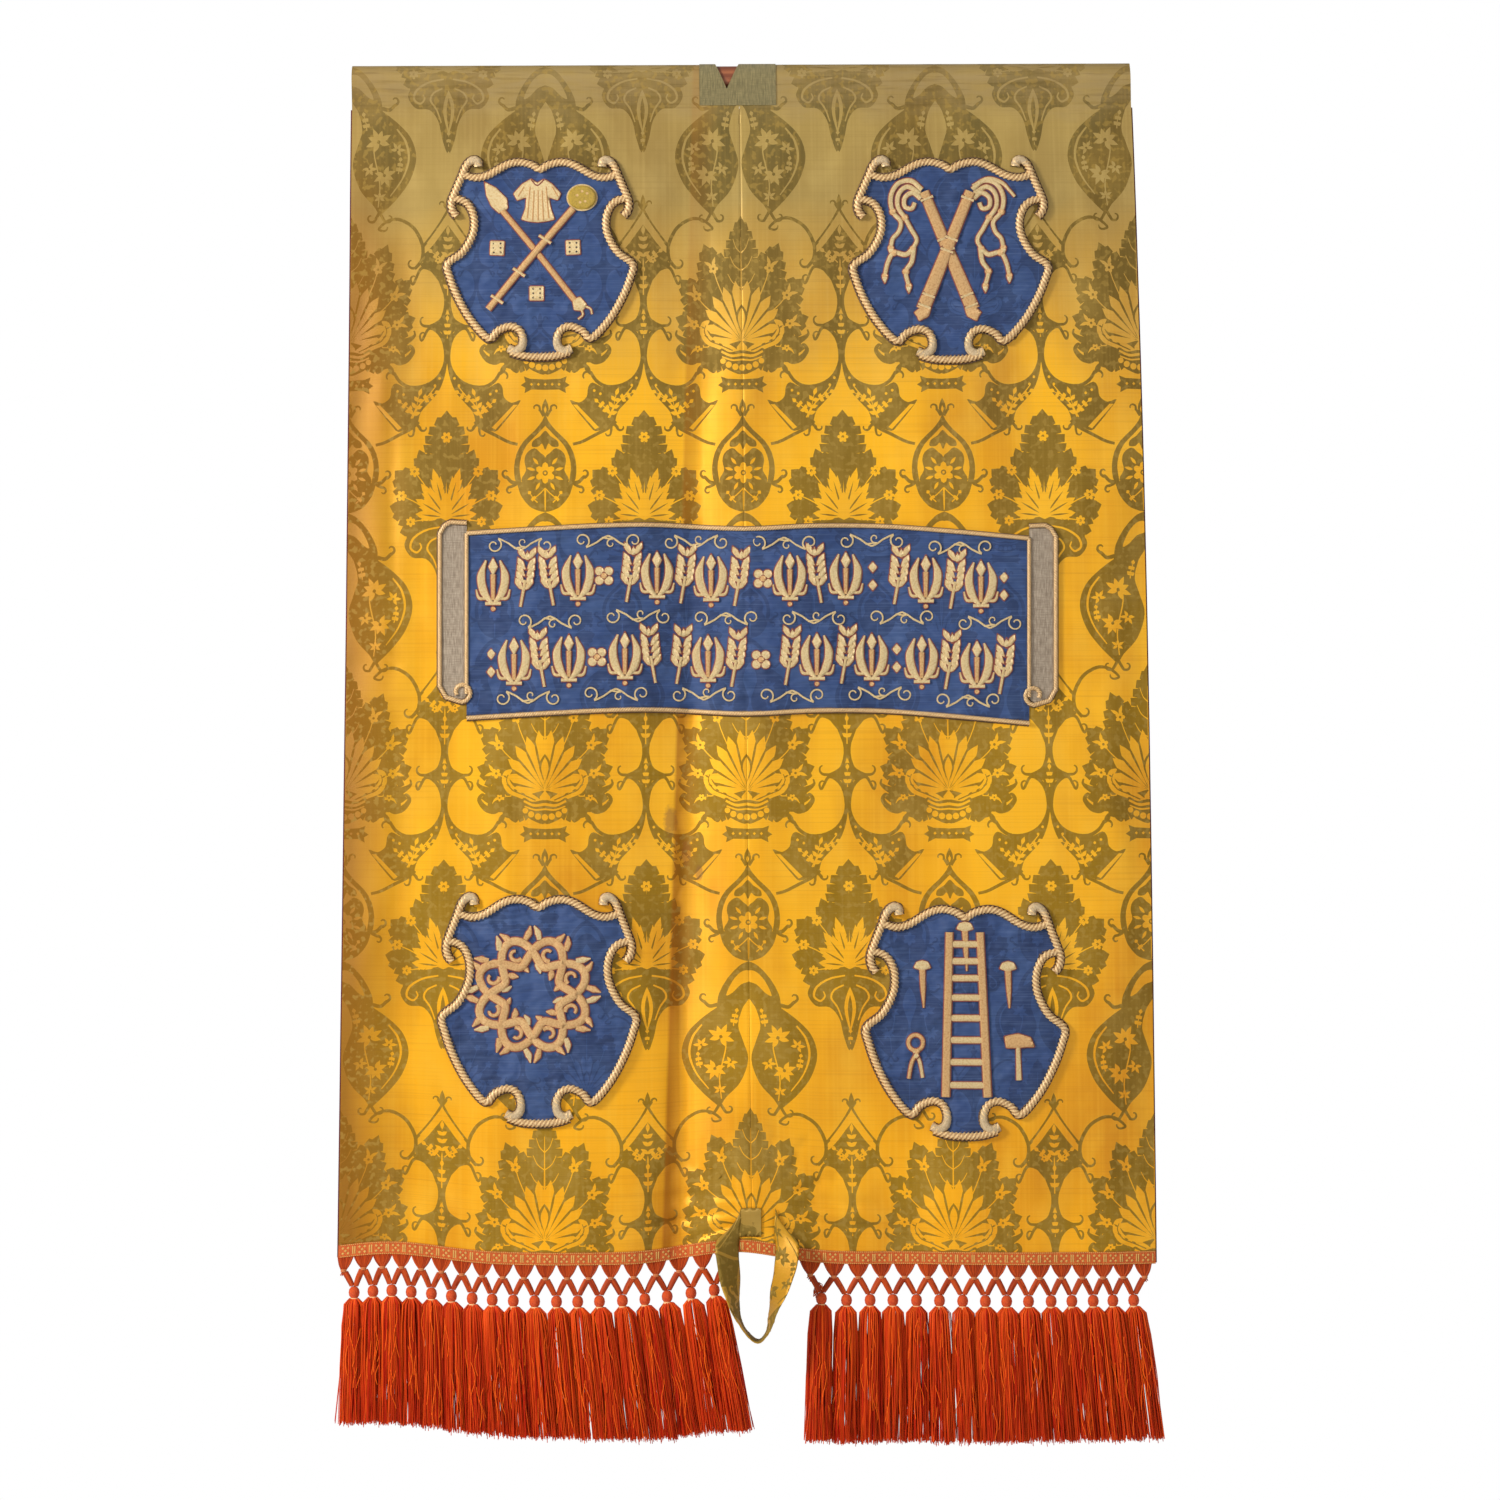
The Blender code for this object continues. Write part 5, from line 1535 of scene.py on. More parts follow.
def build_shield(number, row, m):
    x0, z0, half_width, half_height = row
    corners = shield_outline()
    outline = smooth_line([*corners, corners[0]], 3)[:-1]
    edge = (outline * (half_width, half_height) + (x0, z0)) * (1 / MM, -1 / MM)
    shapes = blue_shapes(edge.min(0), edge.max(0), ((x0 + 0.03 * number) / MM, -z0 / MM + 40 * number))
    place = applique_place(resample_loop(edge, 5.0), SHIELD_PUCKERS[number], APPLIQUE_OUT)
    made = lay(f"blue_shield_{number + 1}", edge, shapes, 8.0, place, [m["blue"], m["blue_figure"]])
    area_of(edge) * MM * MM
    root(made, "blue_damask", f"shield_{number + 1}")
    build_shield_cords(number, row, m)


def build_shield_cords(number, row, m):
    """The shield's gold cord in its runs, thicker towards the curls, between its rows of beads."""
    cords = Pile()
    for kind, run in shield_runs(row):
        path = on_front(run[:, 0], run[:, 1], APPLIQUE_OUT + BLUE_THICKNESS)
        share = np.linspace(0, 1, len(resample(path, ROPE_STEP)))
        radius = np.full(len(share), SHIELD_CORD_RADIUS * 0.84)
        if kind == "ear":
            radius *= 1.0 + 0.18 * np.exp(-((share / 0.12) ** 2))
        if kind == "side":
            radius *= 1.0 + 0.18 * np.exp(-(((1 - share) / 0.05) ** 2))
        rope(cords, path, radius, ROPE_PITCH)
        beads(cords, path, SHIELD_CORD_RADIUS * 1.02, SHIELD_BEAD_PITCH)
        silver_ends(cords, kind, path)
    piece = cords.make(f"shield_cord_{number + 1}", [m["cord"], m["bead"], m["silver"]])
    root(piece, "gold_thread", f"shield_edging_{number + 1}")


SILVER_SPANS = {"ear": (0.0, 0.30), "side": (0.86, 1.0)}


def silver_ends(cords, kind, path):
    """Pale padding over the last turns of the curls."""
    if kind not in SILVER_SPANS:
        return
    run = lengths(path) / lengths(path)[-1]
    start, end = SILVER_SPANS[kind]
    line = resample(path[(run >= start) & (run <= end)], 0.0014)
    share = np.linspace(0, 1, len(line))
    size = SHIELD_CORD_RADIUS * (0.98 + 0.10 * np.sin(math.pi * share)) * np.clip(1.2 - 0.5 * share, 0.6, 1.0)
    if kind == "side":
        size = size[::-1]
    tube(cords, line, size, 8, 2, 0.6, pitch=0.0022, ridge=0.06)


def scroll_edge(side):
    xs = np.linspace(SCROLL_LEFT, SCROLL_RIGHT, SCROLL_EDGE_POINTS)
    middle = smooth_line(SCROLL_MIDDLE)
    return np.stack([xs, np.interp(xs, middle[:, 0], middle[:, 1]) + side * SCROLL_HALF_HEIGHT], axis=1)


def scroll_end(way):
    """Outline of one ribbed end, in X and Z."""
    inner = SCROLL_LEFT if way < 0 else SCROLL_RIGHT
    outer = inner + way * SCROLL_END_WIDTH
    lower = 0.0 if way < 0 else SCROLL_RIGHT_END_LOWER
    top, base = SCROLL_END_TOP - lower, SCROLL_END_BASE - lower
    foot = (inner + way * 0.006, base - SCROLL_END_SAG)
    return [(inner, top - 0.001), (mix(inner, outer, 0.6), top), (outer - way * 0.006, top - 0.004),
            (outer, top - 0.014), (outer, base + 0.014), (outer - way * 0.008, base),
            foot, (inner, base + 0.004)]


def build_scroll(m):
    top, base = scroll_edge(1), scroll_edge(-1)
    edge = np.concatenate([top, base[::-1]]) * (1 / MM, -1 / MM)
    shapes = blue_shapes(edge.min(0), edge.max(0), (30.0, 560.0))
    place = applique_place(resample_loop(edge, 12.0), 0.0007, APPLIQUE_OUT, 0.08)
    made = lay("blue_scroll", edge, shapes, 9.0, place, [m["blue"], m["blue_figure"]])
    root(made, "blue_damask", "scroll_ground")
    cords = Pile()
    for line in (top, base):
        scroll_cord(cords, line)
    for way, name in ((-1, "left"), (1, "right")):
        outline = scroll_end(way)
        build_scroll_end(name, way, outline, m)
        scroll_cord(cords, np.array([*outline[:7], *scroll_curl(way, outline)]))
        inner = outline[0][0]
        side = np.array([(inner, top[0 if way < 0 else -1][1]), (inner, outline[-1][1])])
        scroll_cord(cords, side, 0.0006, 0.8, False)
    piece = cords.make("scroll_cord", [m["cord"], m["bead"], m["silver"]])
    root(piece, "gold_thread", "scroll_edging")


def scroll_cord(cords, line, out=0.0008, share=0.86, beaded=True):
    """A cord along the scroll's edge, between two rows of beads."""
    path = on_front(line[:, 0], line[:, 1], APPLIQUE_OUT + out)
    rope(cords, path, SCROLL_CORD_RADIUS * share, SCROLL_ROPE_PITCH, SCROLL_ROPE_SIDES, SCROLL_ROPE_STEP)
    if beaded:
        beads(cords, path, SCROLL_CORD_RADIUS * 0.95, SCROLL_BEAD_PITCH)


def build_scroll_end(name, way, outline, m):
    flat = np.array(outline) * (1 / MM, -1 / MM)
    place = applique_place(resample_loop(flat, 4.0), 0.0, APPLIQUE_OUT)
    end = lay(f"taupe_end_{name}", flat, [], 3.0, place, [m["taupe"]])
    root(end, "taupe_cloth", f"scroll_end_{name}")


def scroll_curl(way, outline):
    """The rolled foot of the scroll's end."""
    x, z = outline[6]
    middle = z + SCROLL_CURL_RADIUS
    turns = curl(x, middle, SCROLL_CURL_RADIUS, 90, way * 300, 10, 0.44)
    return [(px, 2 * middle - py) for px, py in turns]


# Goldwork, on a drawing grid of 1.25 mm squares from the cloth's upper middle

GRID = 1.25
GRID_X = 726.0
GRID_Y = 65.0
EMBLEM_OUT = 0.0028
COPPER, PALE, COUCHING, OLIVE, PIP = range(5)


def drawn(*points):
    return [((x - GRID_X) * GRID, (y - GRID_Y) * GRID) for x, y in points]


def goldwork_place(x, y, out):
    return on_front(np.asarray(x) * MM, -np.asarray(y) * MM, EMBLEM_OUT + np.asarray(out) * MM)


def stroke(pile, points, widths, height=1.5, slot=COPPER, tone=0.55, base=0.0, rim=True, steps=5):
    """A padded strip with a couched outline; widths in millimetres."""
    line = catmull(points, steps) if len(points) > 2 else points
    dome_strip(pile, line, widths, height, slot, COUCHING if rim else None, base, goldwork_place, tone)


def patch(pile, outline, height=1.4, slot=COPPER, tone=0.55, base=0.0, rim=True, step=3.0):
    dome_patch(pile, outline, height, slot, COUCHING if rim else None, base, goldwork_place, tone, step)


def around(x, y, radius, count, squash=1.0):
    """Points of a ring on the drawing grid."""
    ring = []
    for n in range(count):
        angle = 2 * math.pi * n / count
        ring.append((x + radius * math.cos(angle), y + radius * squash * math.sin(angle)))
    return drawn(*ring)


def lance_and_reed(pile):
    stroke(pile, drawn((498, 205), (540, 256), (577, 303)), (7.2, 7.2), tone=0.5)
    blade = drawn((484, 181), (496, 187), (507, 198), (508, 208), (499, 213), (491, 206), (486, 195))
    patch(pile, blade, 2.0, PALE)
    patch(pile, drawn((572, 300), (580, 296), (587, 304), (583, 311), (574, 310)), 1.8, PALE)
    stroke(pile, drawn((579, 306), (583, 314), (578, 319)), (3, 2), 1.0, PALE)
    stroke(pile, drawn((580, 305), (590, 308), (592, 314)), (3, 2), 1.0, PALE)
    stroke(pile, drawn((488, 309), (530, 258), (573, 208)), (8.0, 8.4), 1.9, base=1.2, tone=0.62)
    for x, y in ((545, 239), (519, 272), (497, 299)):
        stroke(pile, drawn((x - 6, y - 4), (x + 6, y + 4)), (3.6, 3.6), 1.2, PALE, base=2.2)
    patch(pile, around(582, 197, 14.7, 16, 0.86), 3.4, OLIVE, 0.5, step=2.5)
    ring = around(582, 197, 14.7, 22, 0.86)
    stroke(pile, [*ring, ring[0]], (2.4, 2.4), 1.6, PALE, rim=False)
    for dx, dy in ((-5, -2), (3, 4), (5, -4), (-2, 5), (0, -6)):
        patch(pile, around(582 + dx, 197 + dy, 2.2, 7), 1.2, PALE, 0.3, 3.0, False)


def robe(pile):
    outline = ((531, 178), (537, 182), (544, 178), (552, 183), (561, 193), (558, 200), (549, 197), (551, 208),
               (555, 219), (546, 221), (537, 222), (528, 221), (521, 219), (525, 208), (526, 197), (517, 200),
               (513, 193), (522, 183))
    patch(pile, drawn(*outline), 1.8, PALE, 0.6, step=2.5)
    for x, top, foot in ((530, 186, 218), (534, 190, 220), (538, 190, 220), (542, 190, 220), (546, 186, 218)):
        stroke(pile, drawn((x, top), (x + (x - 538) * 0.35, foot)), (1.5, 1.9), 0.9, COPPER, 0.35, 1.7, False)
    stroke(pile, drawn((531, 179), (537, 185), (544, 179)), (1.6, 1.6), 0.8, COUCHING, 0.5, 1.8, False)
    for way in (-1, 1):
        seam = drawn((538 + way * 14, 186), (538 + way * 20, 196))
        stroke(pile, seam, (1.6, 1.6), 0.8, COPPER, 0.3, 1.7, False)


def dice(pile):
    for x, y, spin in ((497, 247.5, 0.05), (573, 247, -0.04), (536.6, 293, 0.0)):
        corners = [(x + 10.4 * math.cos(a + spin), y + 10.4 * math.sin(a + spin))
                   for a in (math.pi / 4 + math.pi / 2 * n for n in range(4))]
        patch(pile, drawn(*corners), 1.9, PALE, 0.62, step=2.5)
        for dx in (-3.4, 3.4):
            for dy in (-4.4, 0.0, 4.4):
                patch(pile, around(x + dx, y + dy, 1.25, 6), 0.5, PIP, 0.3, 1.9, False)


SCOURGE_MIDDLE = 947.25
LASHES = (
    # the left scourge's lashes, on the drawing grid
    ((922, 189), (911, 180), (898, 183), (891, 196), (893, 211), (901, 221), (899, 231), (893, 238),
     (891, 247)),
    ((920, 193), (908, 186), (899, 193), (898, 206), (905, 217), (911, 228), (917, 239), (913, 248)),
    ((921, 198), (913, 192), (905, 197), (905, 206), (912, 208), (915, 202)),
    ((914, 247), (906, 254), (894, 252), (888, 262), (885, 275)),
    ((914, 247), (912, 261), (906, 271), (909, 285)),
)


def scourges(pile):
    for top, foot, base in (((924, 191), (973, 309), 0.0), ((970.5, 191), (923, 309), 1.7)):
        stroke(pile, drawn(top, foot), (13.0, 14.5, 17.5), 2.4, COPPER, 0.6, base)
        way = 1 if foot[0] > top[0] else -1
        for share in (0.06, 0.40, 0.50, 0.88, 0.97):
            x, y = mix(top[0], foot[0], share), mix(top[1], foot[1], share)
            band_round = drawn((x - 6.2, y + way * 2.4), (x + 6.2, y - way * 2.4))
            stroke(pile, band_round, (3.4, 3.4), 1.5, PALE, 0.6, base + 1.6)
        x, y = foot
        butt = drawn((x - 9, y - 3 * way), (x + way * 2, y - 3), (x + 9, y + 3 * way), (x + 6, y + 7),
                     (x + way * 4, y + 12), (x - 6, y + 7))
        patch(pile, butt, 2.2, COPPER, 0.6, base)
    for flip in (1, -1):
        for number, lash in enumerate(LASHES):
            line = [(x if flip > 0 else 2 * SCOURGE_MIDDLE - x, y) for x, y in lash]
            stroke(pile, drawn(*line), (6.6, 6.0, 5.4), 1.8, PALE, 0.6, 0.3 * (number % 3))
            if number == 2:
                continue
            for x, y, size in ((*line[-1], 3.4), (*line[len(line) // 2], 3.8)):
                patch(pile, around(x, y, size, 8), 2.0, COPPER, 0.7, 0.5)
            x, y = line[-1]
            barb = drawn((x - 3.5, y + 1), (x, y - 3), (x + 3.5, y + 1), (x, y + 9))
            patch(pile, barb, 1.7, PALE, 0.7, 0.4)
    loose = drawn((973, 186), (988, 178), (1002, 182), (1010, 190), (1015, 196))
    stroke(pile, loose, (6.0, 5.4, 3.6), 1.7, PALE)


def thorn_ring(pile):
    """Interlaced branches in a ring, with leaf-like thorns inside and out."""
    x0, y0 = 532.4, 994.0
    waves = 8
    for strand, phase in enumerate((0.0, math.pi)):
        for part in range(waves):
            line = []
            for n in range(9):
                angle = 2 * math.pi * (part + n / 8) / waves
                radius = 43.0 + 13.5 * math.sin(waves / 2 * angle + phase)
                line.append((x0 + radius * math.cos(angle), y0 + radius * math.sin(angle)))
            base = 1.5 if (part + strand) % 2 else 0.0
            stroke(pile, drawn(*line), (10.4, 10.4), 2.2, COPPER, 0.58 + 0.1 * strand, base, steps=3)
    for n in range(8):
        angle = 2 * math.pi * n / 8 + math.pi / 8
        x, y = x0 + 43 * math.cos(angle), y0 + 43 * math.sin(angle)
        hook = curl(x, y, 7.5, math.degrees(angle) + 150, 230, 8, 0.55)
        stroke(pile, drawn(*hook), (6.4, 5.0, 3.4), 1.6, COPPER, 0.6, 0.6, steps=2)
    for n in range(24):
        angle = 2 * math.pi * (n + 0.5) / 24
        for radius, length, way in ((55, 15, 1), (31, 11, -1)):
            if way < 0 and n % 2:
                continue
            x, y = x0 + radius * math.cos(angle), y0 + radius * math.sin(angle)
            turn = angle + (0.5 if n % 2 else -0.5)
            tip = (x + way * length * math.cos(turn), y + way * length * math.sin(turn))
            middle = (mix(x, tip[0], 0.5) + 1.2, mix(y, tip[1], 0.5))
            slot = COPPER if n % 3 else PALE
            stroke(pile, drawn((x, y), middle, tip), (6.0, 8.4, 1.4), 1.7, slot, 0.62, 0.4, steps=3)


def ladder_and_tools(pile):
    nail(pile, (965, 927), (967, 971))
    for y in (944, 961, 978, 997.5, 1018, 1040, 1062, 1085):
        share = (y - 932) / 165
        left, right = mix(949.5, 946, share), mix(980, 987.6, share)
        stroke(pile, drawn((left, y), (right, y)), (8.4, 8.4), 1.8, PALE, 0.55, 0.8)
    stroke(pile, drawn((949.5, 932), (946, 1097)), (9.6, 10.6), 2.3, COPPER, 0.6, 1.6)
    stroke(pile, drawn((980, 932), (987.6, 1097)), (9.6, 10.6), 2.3, COPPER, 0.6, 1.6)
    nail(pile, (922.5, 966), (924, 1008))
    nail(pile, (1008, 966.6), (1009.5, 1008))
    ring = around(916, 1043, 7.4, 14, 1.05)
    stroke(pile, [*ring, ring[0]], (5.0, 5.0), 1.7, COPPER)
    stroke(pile, drawn((914, 1050), (920, 1062), (923, 1078)), (5.0, 4.2), 1.6, PALE)
    stroke(pile, drawn((919, 1050), (912, 1063), (909, 1079)), (5.0, 4.2), 1.8, COPPER, 0.6, 0.9)
    patch(pile, around(916.5, 1056, 3.0, 8), 1.6, PALE, 0.6, 1.8)
    stroke(pile, drawn((1018, 1047), (1019, 1080)), (5.8, 7.2), 1.7, PALE)
    hammer = drawn((1004, 1036), (1018, 1033), (1031, 1037), (1035, 1047), (1026, 1047), (1018, 1048),
                   (1006, 1048))
    patch(pile, hammer, 2.4, COPPER, base=0.8)


def nail(pile, head, tip):
    stroke(pile, drawn((head[0], head[1] + 3), tip), (8.0, 6.6, 1.6), 1.9, COPPER, 0.55)
    x, y = head
    cap = drawn((x - 9, y + 2), (x - 6, y - 4), (x, y - 6), (x + 6, y - 4), (x + 9, y + 2), (x, y + 5))
    patch(pile, cap, 2.0, PALE, 0.6, 0.4, step=2.5)


def quatrefoil(pile, x, y, size):
    for n in range(4):
        angle = math.pi / 4 + n * math.pi / 2
        px, py = x + size * 0.62 * math.cos(angle), y + size * 0.62 * math.sin(angle)
        patch(pile, around(px, py, size * 0.46, 9), 1.3, PALE, 0.6, 0.2)
    patch(pile, around(x, y, size * 0.32, 8), 1.7, COPPER, 0.6, 0.9)


def lozenge(pile, x, y, size):
    patch(pile, drawn((x, y - size), (x + size * 0.8, y), (x, y + size), (x - size * 0.8, y)), 1.3, PALE, 0.6)


def wheat_ear(pile, x, y, height, lean):
    """An ear of wheat on a stem: paired grains up a curved line."""
    foot, top = (x - lean * 0.5, y + height / 2), (x + lean * 0.5, y - height / 2)
    bend = (x + lean * 0.15, y)
    line = np.array(catmull([foot, bend, top], 8))
    stroke(pile, drawn(*[tuple(p) for p in line[:9]]), (3.4, 4.0), 1.2, PALE, 0.5, steps=1)
    px, py = top
    patch(pile, drawn((px, py - 3), (px + 3, py + 4), (px, py + 9), (px - 3, py + 4)), 1.5, PALE, 0.65)
    for n in range(5):
        px, py = line[int(mix(15, 6, n / 4))]
        for way in (-1, 1):
            grain = [(px, py + 4), (px + way * 5.0, py + 2), (px + way * 9.4, py - 3.5),
                     (px + way * 9.0, py - 10), (px + way * 3.0, py - 5.5)]
            patch(pile, drawn(*grain), 1.6, PALE, 0.5 + 0.12 * (n % 2), step=3.5)


def leaf_spray(pile, x, y, height):
    """A pair of bowed leaves round an upright bud, tied at the foot."""
    for way in (-1, 1):
        leaf_line = [(x, y + height * 0.42), (x + way * 9, y + height * 0.20),
                     (x + way * 12, y - height * 0.10), (x + way * 7, y - height * 0.40)]
        stroke(pile, drawn(*leaf_line), (4.0, 10.6, 10.2, 2.0), 1.9, PALE, 0.6)
        tip = [(x + way * 5, y + height * 0.30), (x + way * 14, y + height * 0.30),
               (x + way * 17, y + height * 0.14)]
        stroke(pile, drawn(*tip), (4.0, 4.0, 1.8), 1.3, PALE, 0.5)
    stroke(pile, drawn((x, y + height * 0.34), (x, y - height * 0.14)), (4.6, 6.6), 1.6, COPPER, 0.6, 0.3)
    patch(pile, drawn((x, y - height * 0.46), (x + 5, y - height * 0.28), (x, y - height * 0.10),
                      (x - 5, y - height * 0.28)), 1.9, PALE, 0.66, 0.5)
    tie = drawn((x - 8, y + height * 0.40), (x + 8, y + height * 0.40))
    stroke(pile, tie, (4.2, 4.2), 1.3, PALE, 0.6, 0.9)
    patch(pile, around(x, y + height * 0.5, 2.6, 7), 1.2, COPPER, 0.6)


def tendril(pile, x, y, width, way):
    """A thin scrolling tendril: a long wave that winds up at both ends."""
    left = curl(x - width / 2, y, 8.0, 60 * way, -400 * way, 14, 0.72)[::-1]
    right = curl(x + width / 2, y, 8.0, 180 - 60 * way, 400 * way, 14, 0.72)
    line = [*left, (x - width * 0.22, y + way * 2), (x, y - way * 5), (x + width * 0.22, y + way * 2), *right]
    stroke(pile, drawn(*line), (1.7, 2.4, 2.4, 1.7), 0.9, PALE, 0.55, 0.0, False, steps=2)
    side_curl = curl(x + 3, y + way * 3, 5.0, -60 * way, -330 * way, 10, 0.7)
    side_line = drawn((x - width * 0.12, y - way * 3), *side_curl)
    stroke(pile, side_line, (2.2, 1.6), 0.9, PALE, 0.55, 0.0, False, steps=2)


SCROLL_ROWS = (
    # y, height, places and kinds: w wheat, s spray, q quatrefoil, d lozenge
    (576, 54, ((493, "s"), (524, "w"), (550, "w"), (578, "s"), (604, "q"), (630, "w"), (657, "s"), (684, "w"),
               (711, "s"), (738, "w"), (763, "q"), (790, "s"), (818, "w"), (846, "s"), (873, "d"), (898, "w"),
               (926, "s"), (954, "w"), (981, "s"), (1004, "d"))),
    (657, 54, ((491, "d"), (514, "s"), (541, "w"), (569, "s"), (597, "q"), (625, "s"), (652, "w"), (680, "w"),
               (708, "s"), (735, "w"), (761, "q"), (789, "w"), (817, "s"), (845, "w"), (872, "s"), (897, "d"),
               (922, "s"), (949, "w"), (977, "s"), (1003, "w"))),
)


def scroll_rise(x):
    """How far the scroll's middle is below its usual height here, in drawing squares."""
    middle = smooth_line(SCROLL_MIDDLE)
    z = np.interp((x - GRID_X) * GRID * MM, middle[:, 0], middle[:, 1])
    return (-z - 0.6915) / MM / GRID


def scroll_ornament(pile):
    for y, height_of, places in SCROLL_ROWS:
        for number, (x, kind) in enumerate(places):
            at = y + scroll_rise(x)
            if kind == "q":
                quatrefoil(pile, x, at, 10.5)
            elif kind == "d":
                lozenge(pile, x, at - 9, 6.0)
                lozenge(pile, x, at + 9, 6.0)
            elif kind == "w":
                wheat_ear(pile, x, at, height_of, 7 if number % 2 else -7)
            else:
                leaf_spray(pile, x, at, height_of)
    for number, x in enumerate(range(520, 990, 88)):
        for y, shift, way in ((541, 0, 1), (617, 30, -1), (694, 8, 1)):
            tendril(pile, x + shift, y + scroll_rise(x), 52, way if number % 2 else -way)


def build_goldwork(m):
    materials = [m["copper"], m["pale_gold"], m["couching"], m["olive"], m["pip"], m["silver"]]
    works = (
        ("emblem_lance", (lance_and_reed, robe, dice)),
        ("emblem_scourges", (scourges,)),
        ("emblem_thorns", (thorn_ring,)),
        ("emblem_ladder", (ladder_and_tools,)),
        ("scroll_ornament", (scroll_ornament,)),
    )
    for name, drawings in works:
        pile = Pile()
        for draw in drawings:
            draw(pile)
        root(pile.make(name, materials), "gold_thread")


# Braid, net and tassels

BRAID_PITCH = 21.0
BRAID_OUT = 0.0029
BRAID_THICKNESS = 0.0010
BRAID_MIDDLE = 8.0
BRAID_STITCH_RISE = 0.0005
BRAID_CROSS = ((-3.3, -3.3), (3.3, -3.3), (0, 0), (-3.3, 3.3), (3.3, 3.3))
BRAID_BARS = (9.2, 11.8)
TIE_DROP = 0.0165
NET_HALF_DEPTH = 0.0022
HEM_ENDS = (-0.488, 0.533)
YARNS = 11
TIE_YARN_RADIUS = 0.00130
LEG_SPACING = 0.0021
LEG_RADIUS = 0.0023
STRANDS = 172
STRAND_STEPS = 4
STRAND_RADIUS = 0.00072
STRAY_HAIRS = 7
STRAND_START = 0.0145
STRAY_REACH = 0.004
SKIRT_PROFILE = (
    # drop, half_width
    (0.0140, 0.0048), (0.0158, 0.0090), (0.0190, 0.0124),
    (0.0250, 0.0144), (0.0500, 0.0153), (0.2000, 0.0158),
)
HEAD_RADIUS = 0.0068
HEAD_HEIGHT = 0.0162
SKIRT_FLATTEN = 0.82


def build_braid(m):
    low, high = (-HALF_WIDTH / MM, (DROP - BRAID_DEPTH) / MM), (HALF_WIDTH / MM, DROP / MM)
    middle = DROP / MM - BRAID_MIDDLE
    mesh = grid_mesh(low, high, 8.0, (middle,))
    made = hang("braid_strip", mesh, cloth_at(BRAID_OUT), [m["braid"]], BRAID_THICKNESS)
    root(made, "orange_silk", "braid")
    pile = Pile()
    for n in range(int(2 * HALF_WIDTH / MM / BRAID_PITCH) + 1):
        x = low[0] + 9.0 + n * BRAID_PITCH
        for dx, dy in BRAID_CROSS:
            braid_stitch(pile, x + dx, middle + dy, 2.5, 2.5, 45)
        for dx in BRAID_BARS:
            braid_stitch(pile, x + dx, middle, 1.5, 9.6, 0)
    for y in (-7.1, 7.1):
        for x in np.arange(low[0] + 1, high[0] - 1, 2.6):
            braid_stitch(pile, x, middle + y, 1.5, 1.1, 20)
    root(pile.make("braid_figure", [m["braid_light"]]), "orange_silk")


def braid_stitch(pile, x, y, wide, tall, spin):
    """One floating thread: a low quad on the braid, in millimetres of the flat cloth."""
    if not -HALF_WIDTH / MM < x - wide < x + wide < HALF_WIDTH / MM:
        return
    corners = [(wide / 2 * right, tall / 2 * lower) for right, lower in ((-1, -1), (1, -1), (1, 1), (-1, 1))]
    c, s = math.cos(math.radians(spin)), math.sin(math.radians(spin))
    flat = np.array([(x + a * c - b * s, y + a * s + b * c) for a, b in corners]) * MM
    outer = cloth(flat[:, 0], flat[:, 1], BRAID_OUT)
    inner = mix(flat, flat.mean(axis=0), 0.35)
    top = cloth(inner[:, 0], inner[:, 1], BRAID_OUT + BRAID_STITCH_RISE)
    faces = [(4, 5, 6, 7), *[(n, (n + 1) % 4, 4 + (n + 1) % 4, 4 + n) for n in range(4)]]
    pile.add(np.concatenate([outer, top]), [f[::-1] for f in faces], 0, 0.6, np.concatenate([flat, inner]))


def tassel_places(side):
    """Each tassel's head and tip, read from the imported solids."""
    places = []
    for name in sorted(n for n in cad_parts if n.startswith(f"tassel_{side}_")):
        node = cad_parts[name]
        points = np.array([tuple(node.matrix_world @ v.co) for v in node.data.vertices])
        head = points[points[:, 2].argmax()]
        low = points[points[:, 2] < points[:, 2].min() + 0.012]
        places.append((name, head, np.array([low[:, 0].mean(), low[:, 1].mean(), low[:, 2].min()])))
    return places


def build_tassels(side, m):
    pile = Pile()
    heads = Pile()
    places = tassel_places(side)
    for number, (_, head, tip) in enumerate(places):
        uneven = np.random.default_rng(700 + number + (50 if side == "left" else 0))
        add_head(heads, head)
        add_skirt(pile, head, tip, uneven)
    names = [name for name, _, _ in places]
    root(pile.make(f"tassel_skirts_{side}", [m["tassel"]]), "orange_silk", *names)
    root(heads.make(f"tassel_heads_{side}", [m["ball"], m["tie"]]), "orange_silk")


def add_head(pile, head):
    """The round head, bound at its neck with pale thread."""
    middle = head + (0.0, 0.0, -HEAD_HEIGHT * 0.45)
    rings, sides = 6, 12
    points, flat = [], []
    for n in range(rings + 1):
        rise = math.pi * n / rings
        for k in range(sides):
            turn = 2 * math.pi * k / sides
            reach = HEAD_RADIUS * math.sin(rise) ** 0.85 * (1 + 0.03 * math.cos(sides / 2 * turn))
            height = HEAD_HEIGHT / 2 * math.cos(rise)
            points.append(middle + (reach * math.cos(turn), -reach * math.sin(turn), height))
            flat.append((turn * HEAD_RADIUS, rise * HEAD_RADIUS))
    corners = [(r, k, (k + 1) % sides) for r in range(rings) for k in range(sides)]
    faces = [(r * sides + k, (r + 1) * sides + k, (r + 1) * sides + after, r * sides + after)
             for r, k, after in corners]
    pile.add(points, faces, 0, 0.55, flat)
    for n in range(3):
        binding(pile, head, 12, (0.0045, 0.0045), -(HEAD_HEIGHT * 0.90 + n * 0.0013), 0.0011, 0.75)


